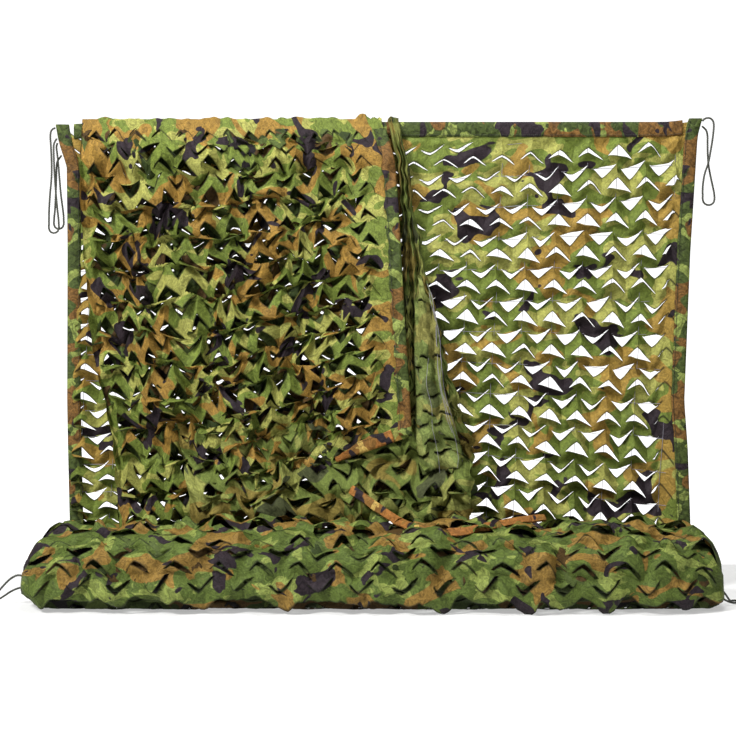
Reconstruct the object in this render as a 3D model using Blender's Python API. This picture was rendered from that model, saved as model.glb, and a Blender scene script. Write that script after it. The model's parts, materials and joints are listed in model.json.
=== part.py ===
"""Camouflage net, put up for display.

A net of slit camouflage cloth, 1.5 m wide, hangs by its bound top edge. A second stretch of it is gathered
to half that width and thrown over the top edge in front of the left half, and the rest of its length is
rolled at the foot. Metres, +Z up. The origin is the middle of the top edge, and the net is seen from -Y.
"""

import math
import random
from typing import NamedTuple

import bmesh
import bpy
from mathutils import Vector, noise
from mathutils.geometry import delaunay_2d_cdt

# ---------------------------------------------------------------- driving sizes, in metres
FLOOR_Z = -1.095  # the surface under the roll, below the top edge
CLOTH = 0.002  # the printed cloth with the crimp of its weave
TOUCH = 0.0003  # left open where two pieces touch

BAND_WIDTH = 0.035  # the folded binding, seen flat
BAND_CLOTH = 0.001  # one thickness of the binding
BAND_SLOT = CLOTH / 2 + TOUCH  # half of the room that the binding leaves for the cloth
EDGE_INSIDE = 0.006  # how far the cloth's edge stays inside the binding's fold

STRAIGHT_DROP = 1.0  # the hung stretch is straight down to here
FOOT_BEND = 0.06  # radius in which it turns towards the roll
FOOT_RUN = 0.034  # and how far it then runs forwards, to the back of the roll

CUT_PITCH_X = 0.0675  # from one peak-shaped slit to the next one beside it
CUT_PITCH_Z = 0.0746  # and to the next one below, in the middle of the right half
ROW_SPREAD = 0.018  # rows stand further apart towards the right: change of pitch for each metre
ROW_MIDDLE_X = 0.387
ROW_RISE = 0.045  # and a row rises towards the right by this for each metre
TOP_PARTS = 20
FOOT_PARTS = 12
FIRST_CUT_DROP = 0.209  # height of the row of V-shaped slits that the others are counted from
PEAK_STEP = 0.0095  # the peaks of a row of peak-shaped slits stand this far below the V's points beside them
CUT_ROWS_ABOVE = 2
CUT_ROWS_BELOW = 9
CUT_COLUMNS_LEFT = 17  # columns of slits on either side of the middle of the right half
CUT_COLUMNS_RIGHT = 5
CUT_LEAN = 0.048  # a column of slits drifts to the left by this share of its drop
CUT_SHIFT = 0.004
CUT_WANDER = 0.002  # how far a slit is off its place
SLIT_LEFT = 0.026  # room that a slit takes to the left of its peak, to the right of it and above a V's point
SLIT_RIGHT = 0.035
SLIT_ABOVE = 0.028
SLIT_CLEAR = 0.005  # between a slit and the binding
LOWEST_CUT = 0.925
TAB_SHUT = 0.009  # how far the free tab of a narrow slit has drawn back from its peak, and of a wide one
TAB_WIDE = 0.026
TAB_EDGE_SHUT = 0.004  # half the width of the tab's edge
TAB_EDGE_WIDE = 0.013
PEAK_CURL = 0.009  # how far a wide slit's tab stands in front of the sheet, and a V's tab behind it
POINT_CURL = -0.007
WAVES_CALM = 0.90  # below this the hung stretch turns from waving to straight

FLAP_TURN = 0.008  # radius in which the thrown-over stretch passes over the top edge
FLAP_TAIL = 0.10  # how far its end hangs down behind
FLAP_TAIL_OUT = 0.014  # and how much further back than its turn it hangs
FLAP_OUT = 0.046  # how far it stands in front of the hung stretch
FLAP_RUFFLE = 0.022  # how far its ruffles stand proud
FALL_BACK = 0.026  # the gathered fall's rearmost line, in front of the hung stretch
FALL_FOLDS = 4

ROLL_MID_Y = -0.205
ROLL_LUMP = 0.012  # leaves of cloth standing proud on the roll
ROLL_ROUNDNESS = 2.4  # 2 is an ellipse, more is squarer

CORD = 0.005  # the corner loops' cord, across

UP = Vector((0.0, 0.0, 1.0))
FRONT = Vector((0.0, -1.0, 0.0))


class SlitCorner(NamedTuple):
    """A corner of a slit's legs, beside and above its peak."""

    beside: float
    above: float


class Wave(NamedTuple):
    """A soft wave of the hung stretch: its height, its turns across and down, and where it starts."""

    height: float
    across: float
    down: float
    start: float


class Side(NamedTuple):
    """The net's outer side edges at one height below its top edge."""

    drop: float
    left: float
    right: float


class FallRow(NamedTuple):
    """The gathered fall at one height: its two sides, how deep its folds are and how far forward it is."""

    drop: float
    left: float
    right: float
    depth: float
    forward: float


class RollSection(NamedTuple):
    """The roll's outline at one place along its length."""

    x: float
    height: float
    depth: float


class StripPoint(NamedTuple):
    """A point of the loose edge on the roll; lean is 0 where it faces forwards and 90 where it lies flat."""

    x: float
    y: float
    z: float
    lean: float


SLIT_LEGS = [
    SlitCorner(beside=-0.025, above=-0.021),
    SlitCorner(beside=-0.006, above=-0.001),
    SlitCorner(beside=0.006, above=-0.001),
    SlitCorner(beside=0.034, above=-0.029),
]

WAVES = [
    Wave(height=0.005, across=13.6, down=2.1, start=0.0),
    Wave(height=0.003, across=33.0, down=-7.8, start=1.3),
]

SIDES = [
    Side(drop=0.00, left=-0.753, right=0.753),
    Side(drop=0.04, left=-0.746, right=0.742),
    Side(drop=0.10, left=-0.727, right=0.738),
    Side(drop=0.30, left=-0.725, right=0.725),
    Side(drop=0.65, left=-0.726, right=0.711),
    Side(drop=0.76, left=-0.724, right=0.719),
    Side(drop=0.93, left=-0.720, right=0.725),
    Side(drop=1.14, left=-0.718, right=0.722),
]

FALL_ROWS = [
    FallRow(drop=0.00, left=0.020, right=0.046, depth=0.002, forward=0.000),
    FallRow(drop=0.10, left=0.043, right=0.068, depth=0.005, forward=0.000),
    FallRow(drop=0.20, left=0.051, right=0.080, depth=0.010, forward=0.000),
    FallRow(drop=0.30, left=0.055, right=0.100, depth=0.018, forward=0.000),
    FallRow(drop=0.45, left=0.050, right=0.136, depth=0.024, forward=0.000),
    FallRow(drop=0.62, left=0.040, right=0.182, depth=0.026, forward=0.000),
    FallRow(drop=0.76, left=-0.040, right=0.222, depth=0.026, forward=0.002),
    FallRow(drop=0.86, left=-0.200, right=0.230, depth=0.030, forward=0.018),
    FallRow(drop=0.925, left=-0.300, right=0.215, depth=0.034, forward=0.040),
]

ROLL_SECTIONS = [
    RollSection(x=-0.783, height=0.070, depth=0.090),
    RollSection(x=-0.766, height=0.100, depth=0.140),
    RollSection(x=-0.725, height=0.142, depth=0.190),
    RollSection(x=-0.660, height=0.164, depth=0.220),
    RollSection(x=-0.480, height=0.172, depth=0.232),
    RollSection(x=-0.150, height=0.166, depth=0.230),
    RollSection(x=0.250, height=0.168, depth=0.232),
    RollSection(x=0.540, height=0.166, depth=0.228),
    RollSection(x=0.665, height=0.160, depth=0.214),
    RollSection(x=0.705, height=0.146, depth=0.190),
    RollSection(x=0.735, height=0.108, depth=0.150),
    RollSection(x=0.750, height=0.074, depth=0.100),
]

STRIP_POINTS = [
    StripPoint(x=-0.064, y=-0.098, z=-0.847, lean=0.0),
    StripPoint(x=-0.003, y=-0.143, z=-0.886, lean=10.0),
    StripPoint(x=0.040, y=-0.205, z=-0.908, lean=25.0),
    StripPoint(x=0.076, y=-0.255, z=-0.917, lean=35.0),
    StripPoint(x=0.129, y=-0.278, z=-0.924, lean=40.0),
    StripPoint(x=0.185, y=-0.276, z=-0.923, lean=40.0),
    StripPoint(x=0.222, y=-0.260, z=-0.916, lean=45.0),
    StripPoint(x=0.306, y=-0.222, z=-0.905, lean=50.0),
    StripPoint(x=0.363, y=-0.200, z=-0.901, lean=50.0),
]
STRIP_WIDTH = 0.020
STRIP_THICKNESS = 0.003

# The thrown-over stretch: the height of its foot at places across it, and its free side at places down it.
FLAP_FOOT = [(-0.70, 0.950), (-0.40, 0.925), (-0.27, 0.880), (-0.10, 0.790), (0.075, 0.727)]
FLAP_LEFT = [(0.0, -0.690), (0.30, -0.680), (0.55, -0.655), (0.75, -0.610), (0.95, -0.590)]
FLAP_RIGHT = [(0.0, 0.012), (0.10, 0.037), (0.20, 0.044), (0.42, 0.056), (0.727, 0.075)]
HEM_LENGTH = 0.172  # how much of its foot, from the free corner, shows its binding
FLAP_BAND_ROOM = 0.0012  # left between that binding and the cloth in it
FLAP_EVEN = 0.05  # below this its rows are evenly spaced
FLAP_ROWS = 24

# Each loop's route, chosen by hand along the middle of its cord.
LOOP_LEFT_LONG = [
    (-0.7538, 0.0, -0.014), (-0.7594, -0.0005, -0.0162), (-0.7632, -0.001, -0.021), (-0.7648, -0.0015, -0.0278),
    (-0.765, -0.002, -0.038), (-0.764, -0.002, -0.054), (-0.762, -0.003, -0.093), (-0.762, -0.004, -0.13),
    (-0.765, -0.006, -0.17), (-0.7671, -0.006, -0.207), (-0.7674, -0.006, -0.225), (-0.7675, -0.006, -0.2385),
    (-0.7676, -0.006, -0.2475), (-0.7642, -0.006, -0.2557), (-0.756, -0.006, -0.2591), (-0.7478, -0.006, -0.2557),
    (-0.7444, -0.006, -0.2475), (-0.7446, -0.006, -0.2385), (-0.7454, -0.006, -0.225), (-0.7475, -0.006, -0.207),
    (-0.751, -0.006, -0.17), (-0.754, -0.006, -0.13), (-0.756, -0.005, -0.093), (-0.7572, -0.003, -0.062),
    (-0.7563, -0.0015, -0.05), (-0.7505, 0.0, -0.0385),
]
LOOP_LEFT_SHORT = [
    (-0.7485, 0.0, -0.049), (-0.7508, 0.001, -0.054), (-0.7515, 0.002, -0.061), (-0.75, 0.003, -0.0745),
    (-0.7475, 0.004, -0.1), (-0.745, 0.004, -0.131), (-0.7415, 0.004, -0.17), (-0.7372, 0.004, -0.203),
    (-0.7355, 0.004, -0.218), (-0.7352, 0.004, -0.2285), (-0.7351, 0.004, -0.237), (-0.7385, 0.0045, -0.2452),
    (-0.7467, 0.005, -0.2486), (-0.7549, 0.0055, -0.2452), (-0.7583, 0.006, -0.237), (-0.7581, 0.006, -0.2285),
    (-0.7574, 0.006, -0.218), (-0.756, 0.0065, -0.203), (-0.7545, 0.007, -0.17), (-0.7535, 0.009, -0.13),
    (-0.753, 0.01, -0.104), (-0.7505, 0.009, -0.09), (-0.74, 0.002, -0.078),
]
LOOP_RIGHT = [
    (0.7536, 0.0, 0.002), (0.7575, 0.0, 0.0065), (0.764, -0.001, 0.0092), (0.7715, -0.0025, 0.0078),
    (0.777, -0.0035, 0.002), (0.7788, -0.0045, -0.007), (0.7782, -0.005, -0.02), (0.7755, -0.005, -0.043),
    (0.771, -0.005, -0.07), (0.766, -0.005, -0.096), (0.758, -0.0045, -0.12), (0.7543, -0.003, -0.142),
    (0.7535, -0.001, -0.16), (0.754, 0.0, -0.171), (0.7539, 0.0, -0.179), (0.7566, 0.001, -0.1874),
    (0.7638, 0.002, -0.1926), (0.7726, 0.003, -0.1926), (0.7798, 0.004, -0.1874), (0.7825, 0.005, -0.179),
    (0.7822, 0.005, -0.17), (0.7807, 0.005, -0.16), (0.7765, 0.0055, -0.14), (0.772, 0.006, -0.118),
    (0.7685, 0.006, -0.096), (0.767, 0.006, -0.073), (0.7666, 0.006, -0.049), (0.7662, 0.005, -0.031),
    (0.7625, 0.0035, -0.0185), (0.7525, 0.0, -0.01),
]
LOOP_ROLL_RIGHT = [
    (0.752, -0.19, -1.062), (0.76, -0.182, -1.068), (0.7695, -0.1715, -1.079), (0.777, -0.161, -1.088),
    (0.7828, -0.1515, -1.092), (0.7889, -0.1464, -1.092), (0.7967, -0.1464, -1.092), (0.8028, -0.1515, -1.092),
    (0.8041, -0.1592, -1.092), (0.8002, -0.166, -1.092), (0.793, -0.174, -1.092), (0.78, -0.186, -1.091),
    (0.766, -0.197, -1.086), (0.7525, -0.208, -1.079),
]
LOOP_ROLL_LEFT = [
    (-0.7845, -0.195, -1.03), (-0.797, -0.195, -1.029), (-0.811, -0.195, -1.036), (-0.824, -0.195, -1.048),
    (-0.838, -0.194, -1.064), (-0.849, -0.192, -1.079), (-0.859, -0.1862, -1.0895), (-0.8655, -0.177, -1.092),
    (-0.8632, -0.1665, -1.0919), (-0.854, -0.1615, -1.09), (-0.843, -0.164, -1.085), (-0.832, -0.168, -1.078),
    (-0.815, -0.176, -1.067), (-0.798, -0.186, -1.059), (-0.7842, -0.19, -1.056),
]

LEAF_GREEN = (0.19, 0.27, 0.07)
DARK_GREEN = (0.10, 0.15, 0.05)
BACK_OLIVE = (0.13, 0.16, 0.06)
EARTH_BROWN = (0.30, 0.16, 0.06)
CORD_BLACK = (0.02, 0.02, 0.015)


# ---------------------------------------------------------------- small helpers
def smooth(share):
    """A soft step from 0 to 1 as share goes from 0 to 1."""
    share = min(max(share, 0.0), 1.0)
    return share * share * (3.0 - 2.0 * share)


def mix(start, end, share):
    return start + (end - start) * share


def read_table(rows, key, column):
    """The value in one column of a table, with straight stretches between its rows."""
    for below, above in zip(rows, rows[1:]):
        if key <= above[0]:
            share = (key - below[0]) / (above[0] - below[0])
            return mix(below[column], above[column], max(share, 0.0))
    return rows[-1][column]


def smooth_route(points, spacing):
    """Points a spacing apart on a smooth curve through a route's own points."""
    route = [Vector(point) for point in points]
    padded = [2 * route[0] - route[1]] + route + [2 * route[-1] - route[-2]]
    fine = []
    steps = 12
    for before, start, end, after in zip(padded, padded[1:], padded[2:], padded[3:]):
        for step in range(steps):
            t = step / steps
            fine.append(0.5 * (2 * start + (end - before) * t
                               + (2 * before - 5 * start + 4 * end - after) * t * t
                               + (3 * start - before - 3 * end + after) * t ** 3))
    fine.append(route[-1])
    lengths = [0.0]
    for start, end in zip(fine, fine[1:]):
        lengths.append(lengths[-1] + (end - start).length)
    count = max(3, round(lengths[-1] / spacing))
    even = []
    index = 0
    for step in range(count + 1):
        target = lengths[-1] * step / count
        while index < len(fine) - 2 and lengths[index + 1] < target:
            index += 1
        span = lengths[index + 1] - lengths[index]
        even.append(fine[index].lerp(fine[index + 1], (target - lengths[index]) / span))
    return even


def material(name, colour, roughness=0.85):
    finish = bpy.data.materials.new(name)
    finish.use_nodes = True
    shader = finish.node_tree.nodes["Principled BSDF"]
    shader.inputs["Base Color"].default_value = (*colour, 1.0)
    shader.inputs["Roughness"].default_value = roughness
    shader.inputs["Metallic"].default_value = 0.0
    return finish


def add_object(name, mesh, colour):
    """Make an object of a bmesh, with its own material."""
    data = bpy.data.meshes.new(name)
    mesh.to_mesh(data)
    mesh.free()
    data.materials.append(material(f"{name}_finish", colour))
    thing = bpy.data.objects.new(name, data)
    bpy.context.scene.collection.objects.link(thing)
    return thing


def add_sheet(name, mesh, colour):
    """Make a cloth object: the bmesh is its middle surface, to which half its thickness is added each way."""
    bmesh.ops.triangulate(mesh, faces=mesh.faces[:])
    bmesh.ops.recalc_face_normals(mesh, faces=mesh.faces[:])
    cloth = add_object(name, mesh, colour)
    thickness = cloth.modifiers.new("cloth thickness", "SOLIDIFY")
    thickness.thickness = CLOTH
    thickness.offset = 0.0
    return cloth


def grid_sheet(name, columns, rows, place, colour):
    """A sheet of columns by rows; place(column, row) gives each corner's position."""
    mesh = bmesh.new()
    bmesh.ops.create_grid(mesh, x_segments=columns, y_segments=rows, size=0.5)
    for vertex in mesh.verts:
        column = round((vertex.co.x + 0.5) * columns)
        row = round((vertex.co.y + 0.5) * rows)
        vertex.co = place(column, row)
    return add_sheet(name, mesh, colour)


def loft(name, sides, stations, place, colour):
    """A closed body of sides by stations; place(side, station) gives each corner's position."""
    mesh = bmesh.new()
    bmesh.ops.create_grid(mesh, x_segments=sides, y_segments=stations, size=0.5)
    for vertex in mesh.verts:
        side = round((vertex.co.x + 0.5) * sides) % sides
        station = round((vertex.co.y + 0.5) * stations)
        vertex.co = place(side, station)
    bmesh.ops.remove_doubles(mesh, verts=mesh.verts[:], dist=1e-6)
    bmesh.ops.holes_fill(mesh, edges=[edge for edge in mesh.edges if edge.is_boundary], sides=0)
    bmesh.ops.triangulate(mesh, faces=mesh.faces[:])
    bmesh.ops.recalc_face_normals(mesh, faces=mesh.faces[:])
    return add_object(name, mesh, colour)


def folded_band(name, path, inwards, facing, slot, colour):
    """A binding strip folded over an edge.

    path runs along the fold, inwards points from it into the cloth and facing out of the cloth's front,
    each a list with one vector for each station. slot is half of the room left for the cloth.
    """
    outer = slot + BAND_CLOTH
    profile = [
        (0.0, -outer), (BAND_WIDTH, -outer), (BAND_WIDTH, -slot), (BAND_CLOTH, -slot),
        (BAND_CLOTH, slot), (BAND_WIDTH, slot), (BAND_WIDTH, outer), (0.0, outer),
    ]

    def place(side, station):
        depth, height = profile[side]
        return path[station] + inwards[station] * depth + facing[station] * height

    return loft(name, len(profile), len(path) - 1, place, colour)


# ---------------------------------------------------------------- the hung stretch
def top_line(x):
    """The top edge's height: its left corner sags a little and its right one is drawn up."""
    return 0.008 * smooth((x - 0.66) / 0.09) - 0.006 * smooth((-0.60 - x) / 0.15)


def hang(x, drop, forward=0.0):
    """A point of the hung stretch, forward of its middle surface, at a length of cloth below its top."""
    if drop <= STRAIGHT_DROP:
        base = Vector((x, 0.0, top_line(x) * (1.0 - smooth(drop / 0.25)) - drop))
        return base + FRONT * forward
    bend_length = FOOT_BEND * math.pi / 2
    angle = min((drop - STRAIGHT_DROP) / FOOT_BEND, math.pi / 2)
    run = max(drop - STRAIGHT_DROP - bend_length, 0.0)
    facing = Vector((0.0, -math.cos(angle), math.sin(angle)))
    base = Vector((x, -FOOT_BEND * (1 - math.cos(angle)) - run, -STRAIGHT_DROP - FOOT_BEND * math.sin(angle)))
    return base + facing * forward


def net_left(drop):
    return read_table(SIDES, drop, 1)


def net_right(drop):
    return read_table(SIDES, drop, 2)


def hung_length():
    return STRAIGHT_DROP + FOOT_BEND * math.pi / 2 + FOOT_RUN


def hung_stations():
    """The heights at which the hung stretch and its side bindings have their corners."""
    bend = [STRAIGHT_DROP + FOOT_BEND * math.pi / 2 * step / 4 for step in range(5)]
    return [side.drop for side in SIDES if side.drop < STRAIGHT_DROP] + bend + [hung_length()]


def hung_relief(x, drop):
    """How far the hung cloth waves out of flat: not at all inside its bindings and where it turns."""
    from_edge = min(x - net_left(drop), net_right(drop) - x, drop) - BAND_WIDTH
    calm = smooth(from_edge / 0.03) * (1.0 - smooth((drop - WAVES_CALM) / 0.08))
    waves = (wave.height * math.sin(wave.across * x + wave.down * drop + wave.start) for wave in WAVES)
    return calm * sum(waves)


def slit_openness(x, drop):
    """How far the slits stand open: narrow at the upper middle, wide towards the right and the foot."""
    return 0.12 + 0.75 * smooth((x - 0.10) / 0.35 + (drop - 0.15) / 0.45) + 0.1 * smooth((-0.55 - x) / 0.05)


def slit_outline(openness, downwards):
    """A slit's outline about its peak: a short left leg, a round peak, a long right leg and the tab's edge.

    Returns points of (x, up, lip), where lip is 1 on the free tab, which curls out of the sheet.
    """
    tab = mix(TAB_SHUT, TAB_WIDE, openness)
    reach = mix(TAB_EDGE_SHUT, TAB_EDGE_WIDE, openness)
    outline = [(corner.beside, corner.above, 0.0) for corner in SLIT_LEGS]
    outline += [(reach, -tab, 1.0), (-reach + 0.001, -tab, 1.0)]
    if downwards:
        outline = [(x, -up, lip) for x, up, lip in reversed(outline)]
    return outline


def slit_places():
    """Each slit's place and way round, cut at its true spacing where the photo shows it.

    Behind the thrown-over stretch only every second slit of every second row is cut.
    """
    rng = random.Random(11)
    places = []
    for half_row in range(-2 * CUT_ROWS_ABOVE, 2 * CUT_ROWS_BELOW + 1):
        peak_up = half_row % 2 == 1
        for column in range(-CUT_COLUMNS_LEFT, CUT_COLUMNS_RIGHT + 1):
            x = ROW_MIDDLE_X + (column + (0.5 if peak_up else 0.0)) * CUT_PITCH_X
            across = max(x, -0.2) - ROW_MIDDLE_X
            pitch = CUT_PITCH_Z + ROW_SPREAD * across
            drop = FIRST_CUT_DROP - ROW_RISE * across + half_row // 2 * pitch + PEAK_STEP * peak_up
            x -= CUT_LEAN * drop - CUT_SHIFT - rng.uniform(-CUT_WANDER, CUT_WANDER)
            drop += rng.uniform(-CUT_WANDER, CUT_WANDER)
            clear = BAND_WIDTH + SLIT_CLEAR
            if not (net_left(drop) + clear + SLIT_LEFT < x < net_right(drop) - clear - SLIT_RIGHT):
                continue
            if not (clear + EDGE_INSIDE + SLIT_ABOVE * (not peak_up) < drop < LOWEST_CUT):
                continue
            seen = x > 0.06 + 0.13 * drop or (x < -0.58 and drop > 0.30)
            sparse = column % 2 == 0 and (half_row // 2) % 2 == 0
            if seen or sparse:
                places.append((x, drop, peak_up))
    return places


def top_stations():
    """Places along the top edge at which the cloth and its binding have their corners."""
    left = net_left(EDGE_INSIDE) + EDGE_INSIDE
    right = net_right(EDGE_INSIDE) - EDGE_INSIDE
    return [mix(left, right, step / TOP_PARTS) for step in range(TOP_PARTS + 1)]


def inside(point, outline):
    """Whether a point lies inside a closed outline."""
    within = False
    for start, end in zip(outline, outline[1:] + outline[:1]):
        if (start.y > point.y) != (end.y > point.y):
            crossing = start.x + (point.y - start.y) * (end.x - start.x) / (end.y - start.y)
            if point.x < crossing:
                within = not within
    return within


def build_panel():
    """The hung stretch: one sheet, cut through at its slits, whose free tabs curl out of it."""
    drops = [EDGE_INSIDE] + hung_stations()[1:]
    top, foot = drops[0], drops[-1]
    corners = []
    for x in top_stations():
        corners.append((x, top))
    for drop in drops[1:]:
        corners.append((net_right(drop) - EDGE_INSIDE, drop))
    left, right = net_left(foot) + EDGE_INSIDE, net_right(foot) - EDGE_INSIDE
    for step in range(1, FOOT_PARTS + 1):
        corners.append((mix(right, left, step / FOOT_PARTS), foot))
    for drop in drops[-2:0:-1]:
        corners.append((net_left(drop) + EDGE_INSIDE, drop))
    outline = len(corners)
    edges = [(index, (index + 1) % outline) for index in range(outline)]

    # The cloth is flat inside its bindings, up to the lines along their inner edges.
    flat = BAND_WIDTH + 0.001
    lower = drops[1:-1] + [foot - 0.002]
    inner_edge = [(net_left(drop) + flat, drop) for drop in reversed(lower)]
    inner_edge += [(x, flat) for x in top_stations()[1:-1]]
    inner_edge += [(net_right(drop) - flat, drop) for drop in lower]
    edges += [(outline + index, outline + index + 1) for index in range(len(inner_edge) - 1)]
    corners += inner_edge
    for drop in (drop for drop in drops if STRAIGHT_DROP <= drop < foot):
        for step in range(1, FOOT_PARTS):
            corners.append((mix(right, left, step / FOOT_PARTS), drop))
    points = [Vector(corner) for corner in corners]
    lips = [0.0] * len(points)
    slits = []
    for x, drop, peak_up in slit_places():
        openness = slit_openness(x, drop)
        first = len(points)
        slit = slit_outline(openness, downwards=not peak_up)
        for side, up, lip in slit:
            points.append(Vector((x + side, drop - up)))
            curl = PEAK_CURL if peak_up else POINT_CURL
            lips.append(lip * curl * openness)
        count = len(slit)
        edges += [(first + index, first + (index + 1) % count) for index in range(count)]
        slits.append([points[first + index] for index in range(count)])

    placed, _, faces, sources, _, _ = delaunay_2d_cdt(points, edges, [], 1, 1e-5)
    mesh = bmesh.new()
    vertices = []
    for point, source in zip(placed, sources):
        lip = lips[source[0]] if source else 0.0
        vertices.append(mesh.verts.new(hang(point.x, point.y, hung_relief(point.x, point.y) + lip)))
    for face in faces:
        middle = sum((placed[index] for index in face), Vector((0.0, 0.0))) / len(face)
        if not any(inside(middle, slit) for slit in slits):
            mesh.faces.new([vertices[index] for index in face])
    loose = [vertex for vertex in mesh.verts if not vertex.link_faces]
    bmesh.ops.delete(mesh, geom=loose, context="VERTS")
    return add_sheet("net_panel", mesh, LEAF_GREEN)


def build_side_band(name, edge_at, inwards_sign, colour):
    """The binding down one side of the hung stretch, turning with it at the foot."""
    path = []
    facing = []
    for drop in hung_stations():
        x = edge_at(drop)
        path.append(hang(x, drop))
        facing.append((hang(x, drop, 1.0) - path[-1]).normalized())
    inwards = [Vector((inwards_sign, 0.0, 0.0))] * len(path)
    return folded_band(name, path, inwards, facing, BAND_SLOT, colour)


def build_top_band():
    """The binding along the top, between the two side bindings."""
    path = [hang(x, 0.0) for x in top_stations()]
    below = 1.2 * BAND_WIDTH
    path[0] = hang(net_left(below) + BAND_WIDTH + TOUCH, 0.0)
    path[-1] = hang(net_right(below) - BAND_WIDTH - TOUCH, 0.0)
    count = len(path)
    return folded_band("binding_top", path, [-UP] * count, [FRONT] * count, BAND_SLOT, EARTH_BROWN)


# ---------------------------------------------------------------- the thrown-over stretch
def flap_foot(x):
    return read_table(FLAP_FOOT, x, 1)


def flap_drops():
    """The rows of the thrown-over stretch: its tail behind, its turn over the top and its fall in front."""
    turn = math.pi * FLAP_TURN
    drops = [-turn - FLAP_TAIL, -turn - FLAP_TAIL / 2, -turn, -turn * 0.66, -turn * 0.33, 0.0, 0.02, FLAP_EVEN]
    drops += [mix(FLAP_EVEN, 1.0, step / FLAP_ROWS) for step in range(1, FLAP_ROWS + 1)]
    return drops


def flap_surface(x, drop):
    """A point of the thrown-over stretch where it falls in front, without its ruffles."""
    right = read_table(FLAP_RIGHT, drop, 1)
    out = mix(FLAP_TURN, FLAP_OUT, smooth(drop / 0.09))
    free_side = smooth((x - right + 0.26) / 0.22) * smooth((drop - 0.08) / 0.25)
    over_roll = smooth((drop - 0.74) / 0.20) * (1.0 - smooth((x + 0.26) / 0.15))
    return Vector((x, -out - 0.030 * free_side - 0.026 * over_roll, -drop))


def flap_place(x_share, row_share, drop_row):
    """A point of the thrown-over stretch's middle surface."""
    if drop_row < 0.0:
        x = mix(FLAP_LEFT[0][1], FLAP_RIGHT[0][1] - EDGE_INSIDE, x_share)
        angle = min(-drop_row / FLAP_TURN, math.pi)
        down = max(-drop_row - math.pi * FLAP_TURN, 0.0)
        ruffle = FLAP_TAIL_OUT + 0.006 * noise.noise(Vector((x / 0.05, 3.0, 0.0)))
        behind = -FLAP_TURN * math.cos(angle) + ruffle * smooth(down / 0.05)
        return Vector((x, behind, FLAP_TURN * math.sin(angle) - down))
    drop = drop_row
    for _ in range(6):
        left = read_table(FLAP_LEFT, drop, 1)
        right = read_table(FLAP_RIGHT, drop, 1)
        x = mix(left, right - EDGE_INSIDE, x_share)
        if drop_row > FLAP_EVEN:
            drop = mix(FLAP_EVEN, flap_foot(x) - EDGE_INSIDE, row_share)
    from_edge = right - x
    if x > right - HEM_LENGTH - 0.04:
        from_edge = min(from_edge, flap_foot(x) - drop)
    free = smooth((from_edge - BAND_WIDTH - 0.012) / 0.03) * smooth(drop / 0.06)
    leaf = noise.noise(Vector((x / 0.042, drop / 0.047, 7.5))) + 0.5 * math.sin(27.0 * x + 5.0 * drop)
    ruffle = max(min(leaf, 1.0), -1.0) * FLAP_RUFFLE * free
    side = noise.noise(Vector((x / 0.05, drop / 0.05, 21.0))) * 0.007 * free
    return flap_surface(x, drop) + Vector((side, -ruffle, side * 0.5))


def build_flap():
    drops = flap_drops()
    rows = len(drops) - 1
    columns = 23
    band_share = 1.0 - 0.036 / 0.70

    def place(column, row):
        share = column / (columns - 1) * band_share if column < columns else 1.0
        row_share = (drops[row] - FLAP_EVEN) / (1.0 - FLAP_EVEN)
        return flap_place(share, row_share, drops[row])

    return grid_sheet("net_flap", columns, rows, place, DARK_GREEN)


def surface_band(name, edge, into_cloth):
    """A binding over an edge of the thrown-over stretch.

    edge is the edge's places of (x, drop), and into_cloth the same places a binding's width further in.
    """
    path = [flap_surface(x, drop) for x, drop in edge]
    inner = [flap_surface(x, drop) for x, drop in into_cloth]
    inwards = [(end - start).normalized() for start, end in zip(path, inner)]
    facing = []
    for index, inward in enumerate(inwards):
        along = path[min(index + 1, len(path) - 1)] - path[max(index - 1, 0)]
        across = along.cross(inward).normalized()
        facing.append(-across if across.y > 0 else across)
    folded_band(name, path, inwards, facing, CLOTH / 2 + FLAP_BAND_ROOM, EARTH_BROWN)


def build_flap_bands():
    """The bindings of the thrown-over stretch: down its free side, and along its foot at the free corner."""
    corner_x, corner_drop = FLAP_FOOT[-1]
    drops = [0.02] + [mix(FLAP_EVEN, corner_drop - EDGE_INSIDE, step / FLAP_ROWS) for step in range(FLAP_ROWS + 1)]
    drops.append(corner_drop)
    edge = [(read_table(FLAP_RIGHT, drop, 1), drop) for drop in drops]
    surface_band("binding_flap_side", edge, [(x - BAND_WIDTH, drop) for x, drop in edge])

    stations = 8
    start_x = corner_x - BAND_WIDTH - 0.004
    end_x = corner_x - HEM_LENGTH
    places = [mix(start_x, end_x, step / stations) for step in range(stations + 1)]
    edge = [(x, flap_foot(x)) for x in places]
    slope = (flap_foot(start_x) - flap_foot(end_x)) / (start_x - end_x)
    turn = math.hypot(1.0, slope)
    rise, shift = BAND_WIDTH / turn, BAND_WIDTH * slope / turn
    surface_band("binding_flap_hem", edge, [(x + shift, drop - rise) for x, drop in edge])


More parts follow.
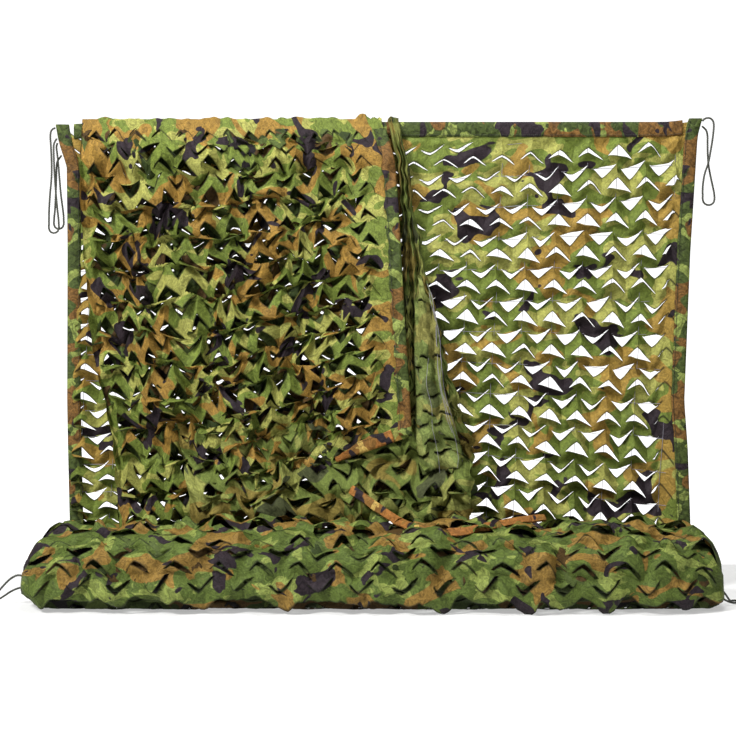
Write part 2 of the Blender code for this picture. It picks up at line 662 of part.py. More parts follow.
# ---------------------------------------------------------------- the gathered fall
def build_fall():
    """The gathered side of the thrown-over stretch: one sheet in back-and-forth folds, spreading at its foot."""
    columns = 5 * FALL_FOLDS
    rows = 15
    foot = FALL_ROWS[-1].drop
    turn = math.pi * FLAP_TURN

    def place(column, row):
        drop = mix(0.0, foot, (row - 3) / (rows - 3))
        front_drop = max(drop, 0.0)
        left = read_table(FALL_ROWS, front_drop, 1)
        right = read_table(FALL_ROWS, front_drop, 2)
        depth = read_table(FALL_ROWS, front_drop, 3)
        forward = read_table(FALL_ROWS, front_drop, 4)
        share = column / columns
        fold = 0.5 - 0.5 * math.cos(2 * math.pi * (FALL_FOLDS * share + 0.10 * math.sin(9.0 * front_drop)))
        x = mix(left, right, share)
        if row < 3:
            angle = math.pi * (3 - row) / 3
            return Vector((x, -FLAP_TURN * math.cos(angle), FLAP_TURN * math.sin(angle)))
        back = mix(FLAP_TURN, FALL_BACK, smooth(drop / 0.07))
        uneven = 1.0 + 0.25 * noise.noise(Vector((share * 4.0, drop * 9.0, 2.0)))
        return Vector((x, -back - forward - depth * fold * uneven, -drop))

    return grid_sheet("net_fall", columns, rows, place, BACK_OLIVE)


# ---------------------------------------------------------------- the roll and the loose edge on it
def build_roll():
    """The rolled length: one body, lumpy with leaves of cloth, slumped at its ends, flat underneath."""
    sides = 20
    stations = 54
    first = ROLL_SECTIONS[0].x
    last = ROLL_SECTIONS[-1].x

    def place(side, station):
        share = station / stations
        x = mix(first, last, 0.5 - 0.5 * math.cos(math.pi * share) if share in (0, 1) else share)
        height = read_table(ROLL_SECTIONS, x, 1)
        depth = read_table(ROLL_SECTIONS, x, 2)
        angle = 2 * math.pi * side / sides
        across, up = math.cos(angle), math.sin(angle)
        power = 2.0 / ROLL_ROUNDNESS
        across = math.copysign(abs(across) ** power, across)
        up = math.copysign(abs(up) ** power, up)
        lump = 0.6 * noise.noise(Vector((x / 0.045, angle / 0.5, 4.0))) + 0.5 * math.sin(x / 0.0135 + 2.3 * angle)
        lump *= ROLL_LUMP * smooth((up + 0.75) / 0.3) * (0.35 if across > 0.4 else 1.0)
        middle = FLOOR_Z + height * 0.48
        y = ROLL_MID_Y + across * (depth / 2 + lump)
        z = middle + up * (height * 0.52 + lump)
        return Vector((x, y, max(z, FLOOR_Z)))

    return loft("net_roll", sides, stations, place, LEAF_GREEN)


def build_roll_edge():
    """The bound edge that comes down in front of the fall and lies along the top of the roll."""
    centre = smooth_route([(point.x, point.y, point.z) for point in STRIP_POINTS], 0.03)
    stations = len(centre) - 1

    def place(side, station):
        point = centre[station]
        along = (centre[min(station + 1, stations)] - centre[max(station - 1, 0)]).normalized()
        lean = math.radians(read_table([(row.x, row.lean) for row in STRIP_POINTS], point.x, 1))
        facing = Vector((0.0, -math.cos(lean), math.sin(lean)))
        across = along.cross(facing).normalized()
        facing = across.cross(along).normalized()
        width, height = [(-1, -1), (1, -1), (1, 1), (-1, 1)][side]
        return point + across * width * STRIP_WIDTH / 2 + facing * height * STRIP_THICKNESS / 2

    return loft("binding_roll_edge", 4, stations, place, EARTH_BROWN)


# ---------------------------------------------------------------- the corner loops
def build_loop(name, route):
    """A cord along its route: a round tube with closed ends."""
    curve = bpy.data.curves.new(name, "CURVE")
    curve.dimensions = "3D"
    curve.bevel_depth = CORD / 2
    curve.bevel_resolution = 2
    curve.use_fill_caps = True
    points = smooth_route(route, 3.0 * CORD)
    spline = curve.splines.new("POLY")
    spline.points.add(len(points) - 1)
    for target, point in zip(spline.points, points):
        target.co = (*point, 1.0)
    curve.materials.append(material(f"{name}_finish", CORD_BLACK, roughness=0.7))
    loop = bpy.data.objects.new(name, curve)
    bpy.context.scene.collection.objects.link(loop)
    return loop


def main():
    for old in list(bpy.data.objects):
        bpy.data.objects.remove(old)
    build_panel()
    build_side_band("binding_left", net_left, 1.0, DARK_GREEN)
    build_side_band("binding_right", net_right, -1.0, EARTH_BROWN)
    build_top_band()
    build_flap()
    build_flap_bands()
    build_fall()
    build_roll()
    build_roll_edge()
    build_loop("loop_left", LOOP_LEFT_LONG)
    build_loop("loop_left_short", LOOP_LEFT_SHORT)
    build_loop("loop_right", LOOP_RIGHT)
    build_loop("loop_roll_right", LOOP_ROLL_RIGHT)
    build_loop("loop_roll_left", LOOP_ROLL_LEFT)


main()
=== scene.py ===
"""Camouflage net, hung by its top edge, thrown over in front at the left and rolled at its foot."""

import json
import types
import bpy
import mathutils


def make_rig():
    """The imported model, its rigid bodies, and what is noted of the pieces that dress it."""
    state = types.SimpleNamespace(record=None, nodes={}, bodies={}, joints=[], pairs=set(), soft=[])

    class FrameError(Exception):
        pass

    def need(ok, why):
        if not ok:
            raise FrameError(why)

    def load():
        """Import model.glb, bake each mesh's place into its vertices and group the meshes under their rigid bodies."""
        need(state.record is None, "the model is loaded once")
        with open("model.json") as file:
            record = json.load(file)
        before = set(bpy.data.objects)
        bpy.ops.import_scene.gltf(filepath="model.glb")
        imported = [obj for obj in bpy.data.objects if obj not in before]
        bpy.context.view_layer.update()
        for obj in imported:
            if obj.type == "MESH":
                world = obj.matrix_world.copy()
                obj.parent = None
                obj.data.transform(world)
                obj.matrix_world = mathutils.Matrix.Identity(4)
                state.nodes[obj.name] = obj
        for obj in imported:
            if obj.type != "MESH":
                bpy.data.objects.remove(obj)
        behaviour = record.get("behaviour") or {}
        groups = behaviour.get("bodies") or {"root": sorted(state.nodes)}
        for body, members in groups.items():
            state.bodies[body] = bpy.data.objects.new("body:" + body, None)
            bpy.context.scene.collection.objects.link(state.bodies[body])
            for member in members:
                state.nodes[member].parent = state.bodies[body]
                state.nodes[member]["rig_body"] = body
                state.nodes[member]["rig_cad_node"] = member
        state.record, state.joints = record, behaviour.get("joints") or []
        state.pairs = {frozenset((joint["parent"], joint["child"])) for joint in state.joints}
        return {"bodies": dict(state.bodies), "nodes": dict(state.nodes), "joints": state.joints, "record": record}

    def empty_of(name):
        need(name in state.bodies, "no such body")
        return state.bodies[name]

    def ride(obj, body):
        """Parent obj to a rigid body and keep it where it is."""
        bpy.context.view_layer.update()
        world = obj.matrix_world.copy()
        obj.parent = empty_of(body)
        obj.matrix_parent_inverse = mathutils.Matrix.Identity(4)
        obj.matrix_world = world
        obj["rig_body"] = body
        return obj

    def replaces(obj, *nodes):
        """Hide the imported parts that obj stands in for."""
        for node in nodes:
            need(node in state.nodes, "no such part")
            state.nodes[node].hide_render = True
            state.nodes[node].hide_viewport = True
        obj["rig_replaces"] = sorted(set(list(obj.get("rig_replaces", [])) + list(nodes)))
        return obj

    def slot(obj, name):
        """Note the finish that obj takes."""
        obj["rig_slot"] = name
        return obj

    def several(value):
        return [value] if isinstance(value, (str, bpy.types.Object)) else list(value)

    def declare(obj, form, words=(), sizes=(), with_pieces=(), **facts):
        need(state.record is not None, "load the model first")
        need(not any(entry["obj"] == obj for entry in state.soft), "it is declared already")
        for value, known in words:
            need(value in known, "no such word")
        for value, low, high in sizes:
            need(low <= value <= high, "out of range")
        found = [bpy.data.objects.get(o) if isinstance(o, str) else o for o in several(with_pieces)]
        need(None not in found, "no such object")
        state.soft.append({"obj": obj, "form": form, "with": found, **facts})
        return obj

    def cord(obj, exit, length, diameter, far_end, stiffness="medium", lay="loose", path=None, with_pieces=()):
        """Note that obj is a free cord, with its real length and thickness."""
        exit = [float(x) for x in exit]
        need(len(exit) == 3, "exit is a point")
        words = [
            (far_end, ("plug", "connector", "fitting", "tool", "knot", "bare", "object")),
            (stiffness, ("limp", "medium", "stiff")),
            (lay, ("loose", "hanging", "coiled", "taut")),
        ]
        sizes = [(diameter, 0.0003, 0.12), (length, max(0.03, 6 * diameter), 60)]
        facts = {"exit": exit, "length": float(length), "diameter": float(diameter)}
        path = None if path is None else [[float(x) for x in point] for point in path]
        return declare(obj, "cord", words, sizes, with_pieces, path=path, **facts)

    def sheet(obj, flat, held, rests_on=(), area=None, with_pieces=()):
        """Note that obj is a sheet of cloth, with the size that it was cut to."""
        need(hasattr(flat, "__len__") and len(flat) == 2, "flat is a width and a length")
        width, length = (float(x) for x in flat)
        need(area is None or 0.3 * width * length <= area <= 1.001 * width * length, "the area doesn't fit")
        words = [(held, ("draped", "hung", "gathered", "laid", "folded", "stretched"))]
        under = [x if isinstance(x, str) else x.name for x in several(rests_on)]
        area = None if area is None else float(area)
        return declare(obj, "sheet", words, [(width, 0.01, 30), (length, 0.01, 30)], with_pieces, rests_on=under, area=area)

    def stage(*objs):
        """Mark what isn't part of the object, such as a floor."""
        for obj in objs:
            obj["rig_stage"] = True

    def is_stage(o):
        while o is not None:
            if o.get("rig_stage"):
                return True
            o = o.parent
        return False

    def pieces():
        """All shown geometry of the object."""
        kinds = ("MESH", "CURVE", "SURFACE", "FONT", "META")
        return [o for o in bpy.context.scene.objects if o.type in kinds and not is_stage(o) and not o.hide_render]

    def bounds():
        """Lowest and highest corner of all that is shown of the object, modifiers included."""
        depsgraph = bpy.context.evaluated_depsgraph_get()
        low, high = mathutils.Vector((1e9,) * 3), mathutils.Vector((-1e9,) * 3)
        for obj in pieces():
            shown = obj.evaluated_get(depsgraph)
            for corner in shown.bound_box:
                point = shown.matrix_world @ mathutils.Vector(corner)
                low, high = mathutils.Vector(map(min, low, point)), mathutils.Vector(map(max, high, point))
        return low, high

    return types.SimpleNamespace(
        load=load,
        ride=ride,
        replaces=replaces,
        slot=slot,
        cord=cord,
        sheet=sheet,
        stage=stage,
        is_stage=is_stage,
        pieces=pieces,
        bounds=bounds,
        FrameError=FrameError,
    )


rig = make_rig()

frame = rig.load()
CAD_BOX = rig.bounds()

import json
import logging
import math
from dataclasses import dataclass
from enum import Enum
from typing import Callable, NamedTuple

import bmesh
import bpy
import numpy as np
from mathutils import Matrix, Vector, noise

LOG = logging.getLogger("camouflage_net")

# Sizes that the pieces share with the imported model, in metres.
FLOOR_Z = -1.095
BAND_WIDTH = 0.035
EDGE_INSIDE = 0.006
STRAIGHT_DROP = 1.0
FOOT_BEND = 0.06
FOOT_RUN = 0.034
HUNG_LENGTH = STRAIGHT_DROP + FOOT_BEND * math.pi / 2 + FOOT_RUN
FLAP_TURN = 0.008
CLOTH_MAP = "cloth"
RIM_LAYER = "cut_rim"

Array = np.ndarray
Point = tuple[float, float, float]
Material = bpy.types.Material
Piece = bpy.types.Object
Node = bpy.types.Node
Mesh = bmesh.types.BMesh


class Held(Enum):
    """How a sheet is held."""

    HUNG = "hung"
    GATHERED = "gathered"
    FOLDED = "folded"


class Slot(Enum):
    """The record's material slots."""

    NET_CLOTH = "net_cloth"
    NET_BACK = "net_back"
    BINDING = "binding"
    CORD = "cord"


# ---------------------------------------------------------------- small helpers
def to_linear(code: str) -> tuple[float, float, float, float]:
    """Turn an sRGB colour into the linear one that the shader takes.

    Args:
        code: Six hex digits, with or without a leading #.

    Returns:
        Red, green, blue and an alpha of 1.
    """
    digits = code.lstrip("#")
    parts = [int(digits[at:at + 2], 16) / 255 for at in (0, 2, 4)]
    linear = [part / 12.92 if part <= 0.04045 else ((part + 0.055) / 1.055) ** 2.4 for part in parts]
    return (linear[0], linear[1], linear[2], 1.0)


def add_node(tree: bpy.types.NodeTree, kind: str, settings: dict | None = None,
             inputs: dict | None = None) -> Node:
    """Add a node to a material.

    Args:
        tree: The material's node tree.
        kind: The node's type name.
        settings: Values for the node's own properties.
        inputs: For each input, by name or number, a value or another node's output.

    Returns:
        The new node.
    """
    node = tree.nodes.new(kind)
    for name, value in (settings or {}).items():
        setattr(node, name, value)
    for socket, value in (inputs or {}).items():
        if isinstance(value, bpy.types.NodeSocket):
            tree.links.new(value, node.inputs[socket])
        else:
            node.inputs[socket].default_value = value
    return node


def start_finish(name: str, inputs: dict[str, object]) -> tuple[Material, Node]:
    """Start a material with a plain shader.

    Args:
        name: The material's name.
        inputs: Values for the shader's sockets, by name.

    Returns:
        The new material and its shader.
    """
    finish = bpy.data.materials.new(name)
    finish.use_nodes = True
    shader = finish.node_tree.nodes["Principled BSDF"]
    for socket, value in inputs.items():
        shader.inputs[socket].default_value = value
    return finish, shader


def unit(rows: Array) -> Array:
    """Scale every row to a length of 1."""
    return rows / np.linalg.norm(rows, axis=1)[:, None]


def smooth(share: Array | float) -> Array:
    """Ease from 0 to 1 as share goes from 0 to 1."""
    held = np.clip(share, 0.0, 1.0)
    return held * held * (3.0 - 2.0 * held)


def mix(start: Array | float, end: Array | float, share: Array | float) -> Array:
    """Blend from start to end by share."""
    return start + (end - start) * share


def ripple(along: Array, across: Array, size: float, layer: float) -> Array:
    """Read a soft uneven field.

    Args:
        along: Places along the field, in metres.
        across: Places across it, in metres.
        size: Width of its bumps, in metres.
        layer: Which of the endless fields of this kind.

    Returns:
        A value between about -1 and 1 for each place.
    """
    return np.array([noise.noise(Vector((a / size, b / size, layer))) for a, b in zip(along, across)])


def column_of(rows: list[tuple[float, ...]], key: Array | float, column: int) -> Array:
    """Read one column of a table at given keys, with straight stretches between its rows."""
    return np.interp(key, [row[0] for row in rows], [row[column] for row in rows])


def make_object(name: str, mesh: Mesh, finish: Material) -> Piece:
    """Make a smooth-shaded object of a bmesh.

    Args:
        name: The piece's name.
        mesh: Its mesh, freed here.
        finish: Its material.

    Returns:
        The new object, at the origin.
    """
    data = bpy.data.meshes.new(name)
    mesh.to_mesh(data)
    mesh.free()
    data.polygons.foreach_set("use_smooth", [True] * len(data.polygons))
    data.materials.append(finish)
    piece = bpy.data.objects.new(name, data)
    bpy.context.scene.collection.objects.link(piece)
    return piece


def grid_piece(name: str, columns: int, rows: int, place: Callable[[Array, Array], Array],
               size: tuple[float, float], finish: Material,
               closed: bool = False) -> Piece:
    """Make a sheet or a tube from a grid.

    Args:
        name: The piece's name.
        columns: Faces across.
        rows: Faces along.
        place: Gives each corner's position from its shares across and along.
        size: Its width and length laid flat, for the cloth map, in metres.
        finish: Its material.
        closed: Whether its two long sides meet, as a tube's do, and its ends are filled.

    Returns:
        The new object.
    """
    mesh = bmesh.new()
    bmesh.ops.create_grid(mesh, x_segments=columns, y_segments=rows, size=0.5)
    shares = np.array([vertex.co[:2] for vertex in mesh.verts]) + 0.5
    cloth = mesh.loops.layers.uv.new(CLOTH_MAP)
    for face in mesh.faces:
        for loop in face.loops:
            loop[cloth].uv = ((loop.vert.co.x + 0.5) * size[0], (loop.vert.co.y + 0.5) * size[1])
    for vertex, spot in zip(mesh.verts, place(shares[:, 0], shares[:, 1])):
        vertex.co = spot
    if closed:
        bmesh.ops.remove_doubles(mesh, verts=mesh.verts[:], dist=1e-6)
        bmesh.ops.holes_fill(mesh, edges=[edge for edge in mesh.edges if edge.is_boundary], sides=0)
        bmesh.ops.recalc_face_normals(mesh, faces=mesh.faces[:])
    return make_object(name, mesh, finish)


def smooth_route(points: list[Point], spacing: float) -> list[Vector]:
    """Lay points a spacing apart on a smooth curve through a route.

    Args:
        points: The route's own points.
        spacing: Distance between the new ones, in metres.

    Returns:
        The new points, the route's two ends among them.
    """
    route = [Vector(point) for point in points]
    padded = [2 * route[0] - route[1]] + route + [2 * route[-1] - route[-2]]
    fine = []
    steps = 12
    for before, start, end, after in zip(padded, padded[1:], padded[2:], padded[3:]):
        for step in range(steps):
            t = step / steps
            fine.append(0.5 * (2 * start + (end - before) * t
                               + (2 * before - 5 * start + 4 * end - after) * t * t
                               + (3 * start - before - 3 * end + after) * t ** 3))
    fine.append(route[-1])
    lengths = np.concatenate([[0.0], np.cumsum([(b - a).length for a, b in zip(fine, fine[1:])])])
    count = max(3, round(lengths[-1] / spacing))
    wanted = np.linspace(0.0, lengths[-1], count + 1)
    spots = np.array(fine)
    laid = np.stack([np.interp(wanted, lengths, spots[:, at]) for at in range(3)], 1)
    return [Vector(spot) for spot in laid]


# ---------------------------------------------------------------- finishes
@dataclass(frozen=True)
class PrintedOxford:
    """Polyester oxford with a woodland print: matt with a faint satin, sharp-edged blobs of four inks."""

    name: str
    light: str = "#828242"
    green: str = "#59652A"
    brown: str = "#80682F"
    bark: str = "#231C20"
    green_share: float = 0.47
    brown_share: float = 0.555
    bark_share: float = 0.625
    blob_mm: float = 100.0
    shift: float = 0.0
    # The duller back of the cloth: the print is mixed towards a plain tone, which one copy darkens as painted shade
    # and another lightens as painted light.
    dull_back_and_shade: float = 0.0
    dull_back_and_shade_tone: str = "#59663A"
    # The near-black painted along the cut edges as shade, and how strongly it is mixed in.
    edge: str = "#0E0F08"
    edge_shade: float = 0.85
    roughness: float = 0.62
    # How far rubbed wear and painted crease light and shade move the print's tone.
    rub_and_crease_shade: float = 0.30
    drawn_weave: float = 0.0016

    def material(self) -> Material:
        """Build the node material.

        Returns:
            The new material.
        """
        finish, shader = start_finish(self.name, {"Roughness": self.roughness, "IOR": 1.5,
                                                  "Specular IOR Level": 0.12})
        tree = finish.node_tree
        cloth = add_node(tree, "ShaderNodeUVMap", {"uv_map": CLOTH_MAP})
        placed = add_node(tree, "ShaderNodeMapping", None,
                          {"Vector": cloth.outputs[0], "Location": (self.shift, 0.37 * self.shift, 0.0)})
        spot = placed.outputs[0]
        scale = 1000.0 / self.blob_mm
        masks = []
        for offset, share, fineness in ((3.1, self.green_share, 2.5), (11.7, self.brown_share, 1.8),
                                        (23.9, self.bark_share, 2.2)):
            moved = add_node(tree, "ShaderNodeMapping", None,
                             {"Vector": spot, "Location": (offset, offset, 0.0), "Scale": (0.8, 1.0, 1.0)})
            blobs = add_node(tree, "ShaderNodeTexNoise", {"noise_dimensions": "2D"},
                             {"Vector": moved.outputs[0], "Scale": scale * fineness * 0.5, "Detail": 2.2,
                              "Roughness": 0.5, "Distortion": 0.35})
            mask = add_node(tree, "ShaderNodeMapRange", {"clamp": True},
                            {"Value": blobs.outputs[0], "From Min": share - 0.004, "From Max": share + 0.004})
            masks.append(mask.outputs[0])
        # Painted shade: the cut edges are darkened towards near-black, standing in for the shadow in the gaps that
        # part one leaf from the next.
        rim = add_node(tree, "ShaderNodeAttribute", {"attribute_name": RIM_LAYER})
        painted_edge_shade = add_node(tree, "ShaderNodeMapRange", {"clamp": True},
                         {"Value": rim.outputs["Fac"], "From Min": 0.25, "From Max": 0.9, "To Min": 0.0,
                          "To Max": self.edge_shade})
        layers = list(zip(masks, (self.green, self.brown, self.bark)))
        layers += [(self.dull_back_and_shade, self.dull_back_and_shade_tone)] if self.dull_back_and_shade > 0.0 else []
        colour = to_linear(self.light)
        for share, ink in layers + [(painted_edge_shade.outputs[0], self.edge)]:
            colour = add_node(tree, "ShaderNodeMix", {"data_type": "RGBA"},
                              {0: share, 6: colour, 7: to_linear(ink)}).outputs[2]
        # The ink lies unevenly on the yarn: a mottle of a few millimetres.
        mottle = add_node(tree, "ShaderNodeTexNoise", {"noise_dimensions": "2D"},
                          {"Vector": spot, "Scale": 260.0, "Detail": 2.0, "Roughness": 0.6})
        tint = add_node(tree, "ShaderNodeMapRange", None,
                        {"Value": mottle.outputs[0], "From Min": 0.3, "From Max": 0.7, "To Min": 0.82,
                         "To Max": 1.15})
        # Patches of a centimetre or two are paler or darker than the print: partly rubbed wear, partly painted light
        # and shade standing in for small creases.
        creases = add_node(tree, "ShaderNodeTexNoise", {"noise_dimensions": "2D"},
                           {"Vector": spot, "Scale": 70.0, "Detail": 3.0, "Roughness": 0.65,
                            "Distortion": 1.2})
        rubbed_and_crease_shaded = add_node(tree, "ShaderNodeMapRange", None,
                          {"Value": creases.outputs[0], "From Min": 0.3, "From Max": 0.7,
                           "To Min": 1.0 - self.rub_and_crease_shade, "To Max": 1.0 + self.rub_and_crease_shade})
        uneven = add_node(tree, "ShaderNodeMath", {"operation": "MULTIPLY"},
                          {0: tint.outputs[0], 1: rubbed_and_crease_shaded.outputs[0]})
        shade = add_node(tree, "ShaderNodeMix", {"data_type": "RGBA", "blend_type": "MULTIPLY"},
                         {0: 1.0, 6: colour, 7: uneven.outputs[0]})
        tree.links.new(shade.outputs[2], shader.inputs["Base Color"])
        # The real weave is about 0.5 mm; it is drawn at 1.6 mm, the finest that shows.
        yarns = []
        for direction in ("X", "Y"):
            wave = add_node(tree, "ShaderNodeTexWave", {"bands_direction": direction},
                            {"Vector": spot, "Scale": 2 * math.pi / 20 / self.drawn_weave / 2,
                             "Distortion": 0.6})
            yarns.append(wave.outputs["Fac"])
        weave = add_node(tree, "ShaderNodeMath", {"operation": "MAXIMUM"}, {0: yarns[0], 1: yarns[1]})
        raised = add_node(tree, "ShaderNodeMath", {"operation": "MULTIPLY_ADD"},
                          {0: mottle.outputs[0], 1: 1.6, 2: weave.outputs[0]})
        wrinkled = add_node(tree, "ShaderNodeBump", None,
                            {"Height": creases.outputs[0], "Strength": 0.7, "Distance": 0.0035})
        bump = add_node(tree, "ShaderNodeBump", None,
                        {"Height": raised.outputs[0], "Strength": 0.35, "Distance": 0.0005,
                         "Normal": wrinkled.outputs[0]})
        tree.links.new(bump.outputs[0], shader.inputs["Normal"])
        return finish


@dataclass(frozen=True)
class TwistedCord:
    """Dark polypropylene cord: twisted yarns with a dull gloss along their crowns."""

    name: str = "dark twisted cord"
    colour: str = "#15170F"
    worn: str = "#34362A"
    roughness: float = 0.55

    def material(self) -> Material:
        """Build the node material.

        Returns:
            The new material.
        """
        finish, shader = start_finish(self.name, {"Roughness": self.roughness})
        tree = finish.node_tree
        place = add_node(tree, "ShaderNodeTexCoord")
        fibres = add_node(tree, "ShaderNodeTexNoise", None,
                          {"Vector": place.outputs["Object"], "Scale": 420.0, "Detail": 3.0})
        colour = add_node(tree, "ShaderNodeMix", {"data_type": "RGBA"},
                          {0: fibres.outputs[0], 6: to_linear(self.colour), 7: to_linear(self.worn)})
        tree.links.new(colour.outputs[2], shader.inputs["Base Color"])
        bump = add_node(tree, "ShaderNodeBump", None,
                        {"Height": fibres.outputs[0], "Strength": 0.5, "Distance": 0.0006})
        tree.links.new(bump.outputs[0], shader.inputs["Normal"])
        return finish


@dataclass(frozen=True)
class Twine:
    """Thin polyester string or thread: pale and slightly uneven in colour."""

    name: str
    colour: str
    other: str
    roughness: float = 0.7

    def material(self) -> Material:
        """Build the node material.

        Returns:
            The new material.
        """
        finish, shader = start_finish(self.name, {"Roughness": self.roughness})
        tree = finish.node_tree
        place = add_node(tree, "ShaderNodeTexCoord")
        tone = add_node(tree, "ShaderNodeTexNoise", None, {"Vector": place.outputs["Object"], "Scale": 90.0})
        colour = add_node(tree, "ShaderNodeMix", {"data_type": "RGBA"},
                          {0: tone.outputs[0], 6: to_linear(self.colour), 7: to_linear(self.other)})
        tree.links.new(colour.outputs[2], shader.inputs["Base Color"])
        return finish


class Look(Enum):
    """Every finish on the net."""

    CORD = TwistedCord()
    PRINT = PrintedOxford("woodland print oxford")
    THROWN = PrintedOxford("woodland print oxford, thrown over", brown="#7A5F2A", brown_share=0.545, rub_and_crease_shade=0.42)
    # The print on the roll, its inks darker than the hung net's: painted shade.
    ROLLED = PrintedOxford("woodland print oxford, rolled, painted darker as shade", blob_mm=72.0, light="#697338", green="#465323",
                           brown="#6F5728", green_share=0.42, brown_share=0.56, bark_share=0.63, rub_and_crease_shade=0.42)
    # The print made dark as painted shade, for the roll's core and inner turn and for the layers under the flap and
    # the fall.
    PAINTED_SHADE_PRINT = PrintedOxford("print painted dark as shade", light="#434E26", green="#283215", brown="#403018",
                           bark="#161213", shift=9.0)
    # The back of the cloth, its plain tone darkened as painted shade; the copy after it is the same back lightened as
    # painted light.
    BACK = PrintedOxford("dull back of the print", dull_back_and_shade=0.45, dull_back_and_shade_tone="#4D562D", shift=3.0, roughness=0.8)
    LIT_BACK = PrintedOxford("dull back of the print, in the light", dull_back_and_shade=0.66, dull_back_and_shade_tone="#606A3C", shift=3.0,
                             roughness=0.8)
    BAND = PrintedOxford("binding print oxford", blob_mm=60.0, shift=6.0, light="#6A743A", green="#36401D",
                         brown="#5C4220", green_share=0.44, brown_share=0.53, bark_share=0.61, rub_and_crease_shade=0.58)
    BROWN_BAND = PrintedOxford("binding print, mostly brown", blob_mm=70.0, shift=8.0, light="#9C8244",
                               green="#6C4D24", brown="#7E5327", green_share=0.42, brown_share=0.46,
                               bark_share=0.65, rub_and_crease_shade=0.36)
    STRING = Twine("grey backing string", "#6A6672", "#8B8890")
    THREAD = Twine("dark green sewing thread", "#15180F", "#2C3121")


# ---------------------------------------------------------------- the cut cloth
class Span(NamedTuple):
    """A size of the cut where the net lies shut and where it is pulled wide open."""

    shut: float
    wide: float

    def at(self, opened: Array) -> Array:
        """The size where the net is opened by a given share."""
        return self.shut + (self.wide - self.shut) * opened


@dataclass(frozen=True)
class SlitPattern:
    """How the cloth is cut: zigzag ribbons, parted in turn around their peaks and around their valleys.

    Lines of slits are counted downwards from a line of peak-shaped ones. A phase of 1 is one pitch across.
    """

    pitch_x: float = 0.0675
    pitch_z: float = 0.0746
    step: Span = Span(0.0095, -0.0030)
    short_rise: Span = Span(0.0160, 0.0250)
    long_rise: Span = Span(0.0265, 0.0360)
    short_reach: float = 4 / 12
    long_reach: float = 6 / 12
    knee: float = 0.005
    columns: int = 12
    rows: int = 6

    def off_peak(self, phase: Array) -> Array:
        """Signed distance from the peak that a phase belongs to, in pitches."""
        before = self.short_reach + (1.0 - self.short_reach - self.long_reach) / 2
        return (phase + before) % 1.0 - before

    def chord(self, off: Array, opened: Array) -> Array:
        """Depth below its peak of the straight line that joins a slit's two ends."""
        share = np.clip((off + self.short_reach) / (self.short_reach + self.long_reach), 0.0, 1.0)
        return mix(self.short_rise.at(opened), self.long_rise.at(opened), share)

    def zigzag(self, phase: Array, opened: Array) -> Array:
        """Depth of a cut line below its peaks.

        Args:
            phase: Places across, in pitches.
            opened: How far the net is open there.

        Returns:
            The line's depth at each place.
        """
        turn = (1.0 - self.short_reach - self.long_reach) / 2
        short, long = self.short_rise.at(opened), self.long_rise.at(opened)
        middle = (short + long) / 2
        off = self.off_peak(phase)
        depth = np.where(off < 0.0, short * -off / self.short_reach, long * off / self.long_reach)
        depth = np.where(off < -self.short_reach, mix(short, middle, (-off - self.short_reach) / turn), depth)
        depth = np.where(off > self.long_reach, mix(long, middle, (off - self.long_reach) / turn), depth)
        return depth + 0.6 * self.knee * np.exp(-((off * self.pitch_x / self.knee) ** 2))

    def tip(self, line: Array, opened: Array) -> Array:
        """Depth of a cut line's peaks, or of its valleys' points, below the first line's peaks."""
        return line // 2 * self.pitch_z + (line % 2) * (self.pitch_z - self.step.at(opened))

    def line(self, line: Array, phase: Array, opened: Array) -> Array:
        """Depth of a cut line at a phase, below the first line's peaks."""
        shape = np.where(line % 2 == 0, self.zigzag(phase, opened), -self.zigzag(phase - 0.5, opened))
        return self.tip(line, opened) + shape


class Extent(NamedTuple):
    """The stretch of a pattern that a piece holds, in pitches across and in lines down."""

    first_pitch: int
    last_pitch: int
    first_line: int
    last_line: int


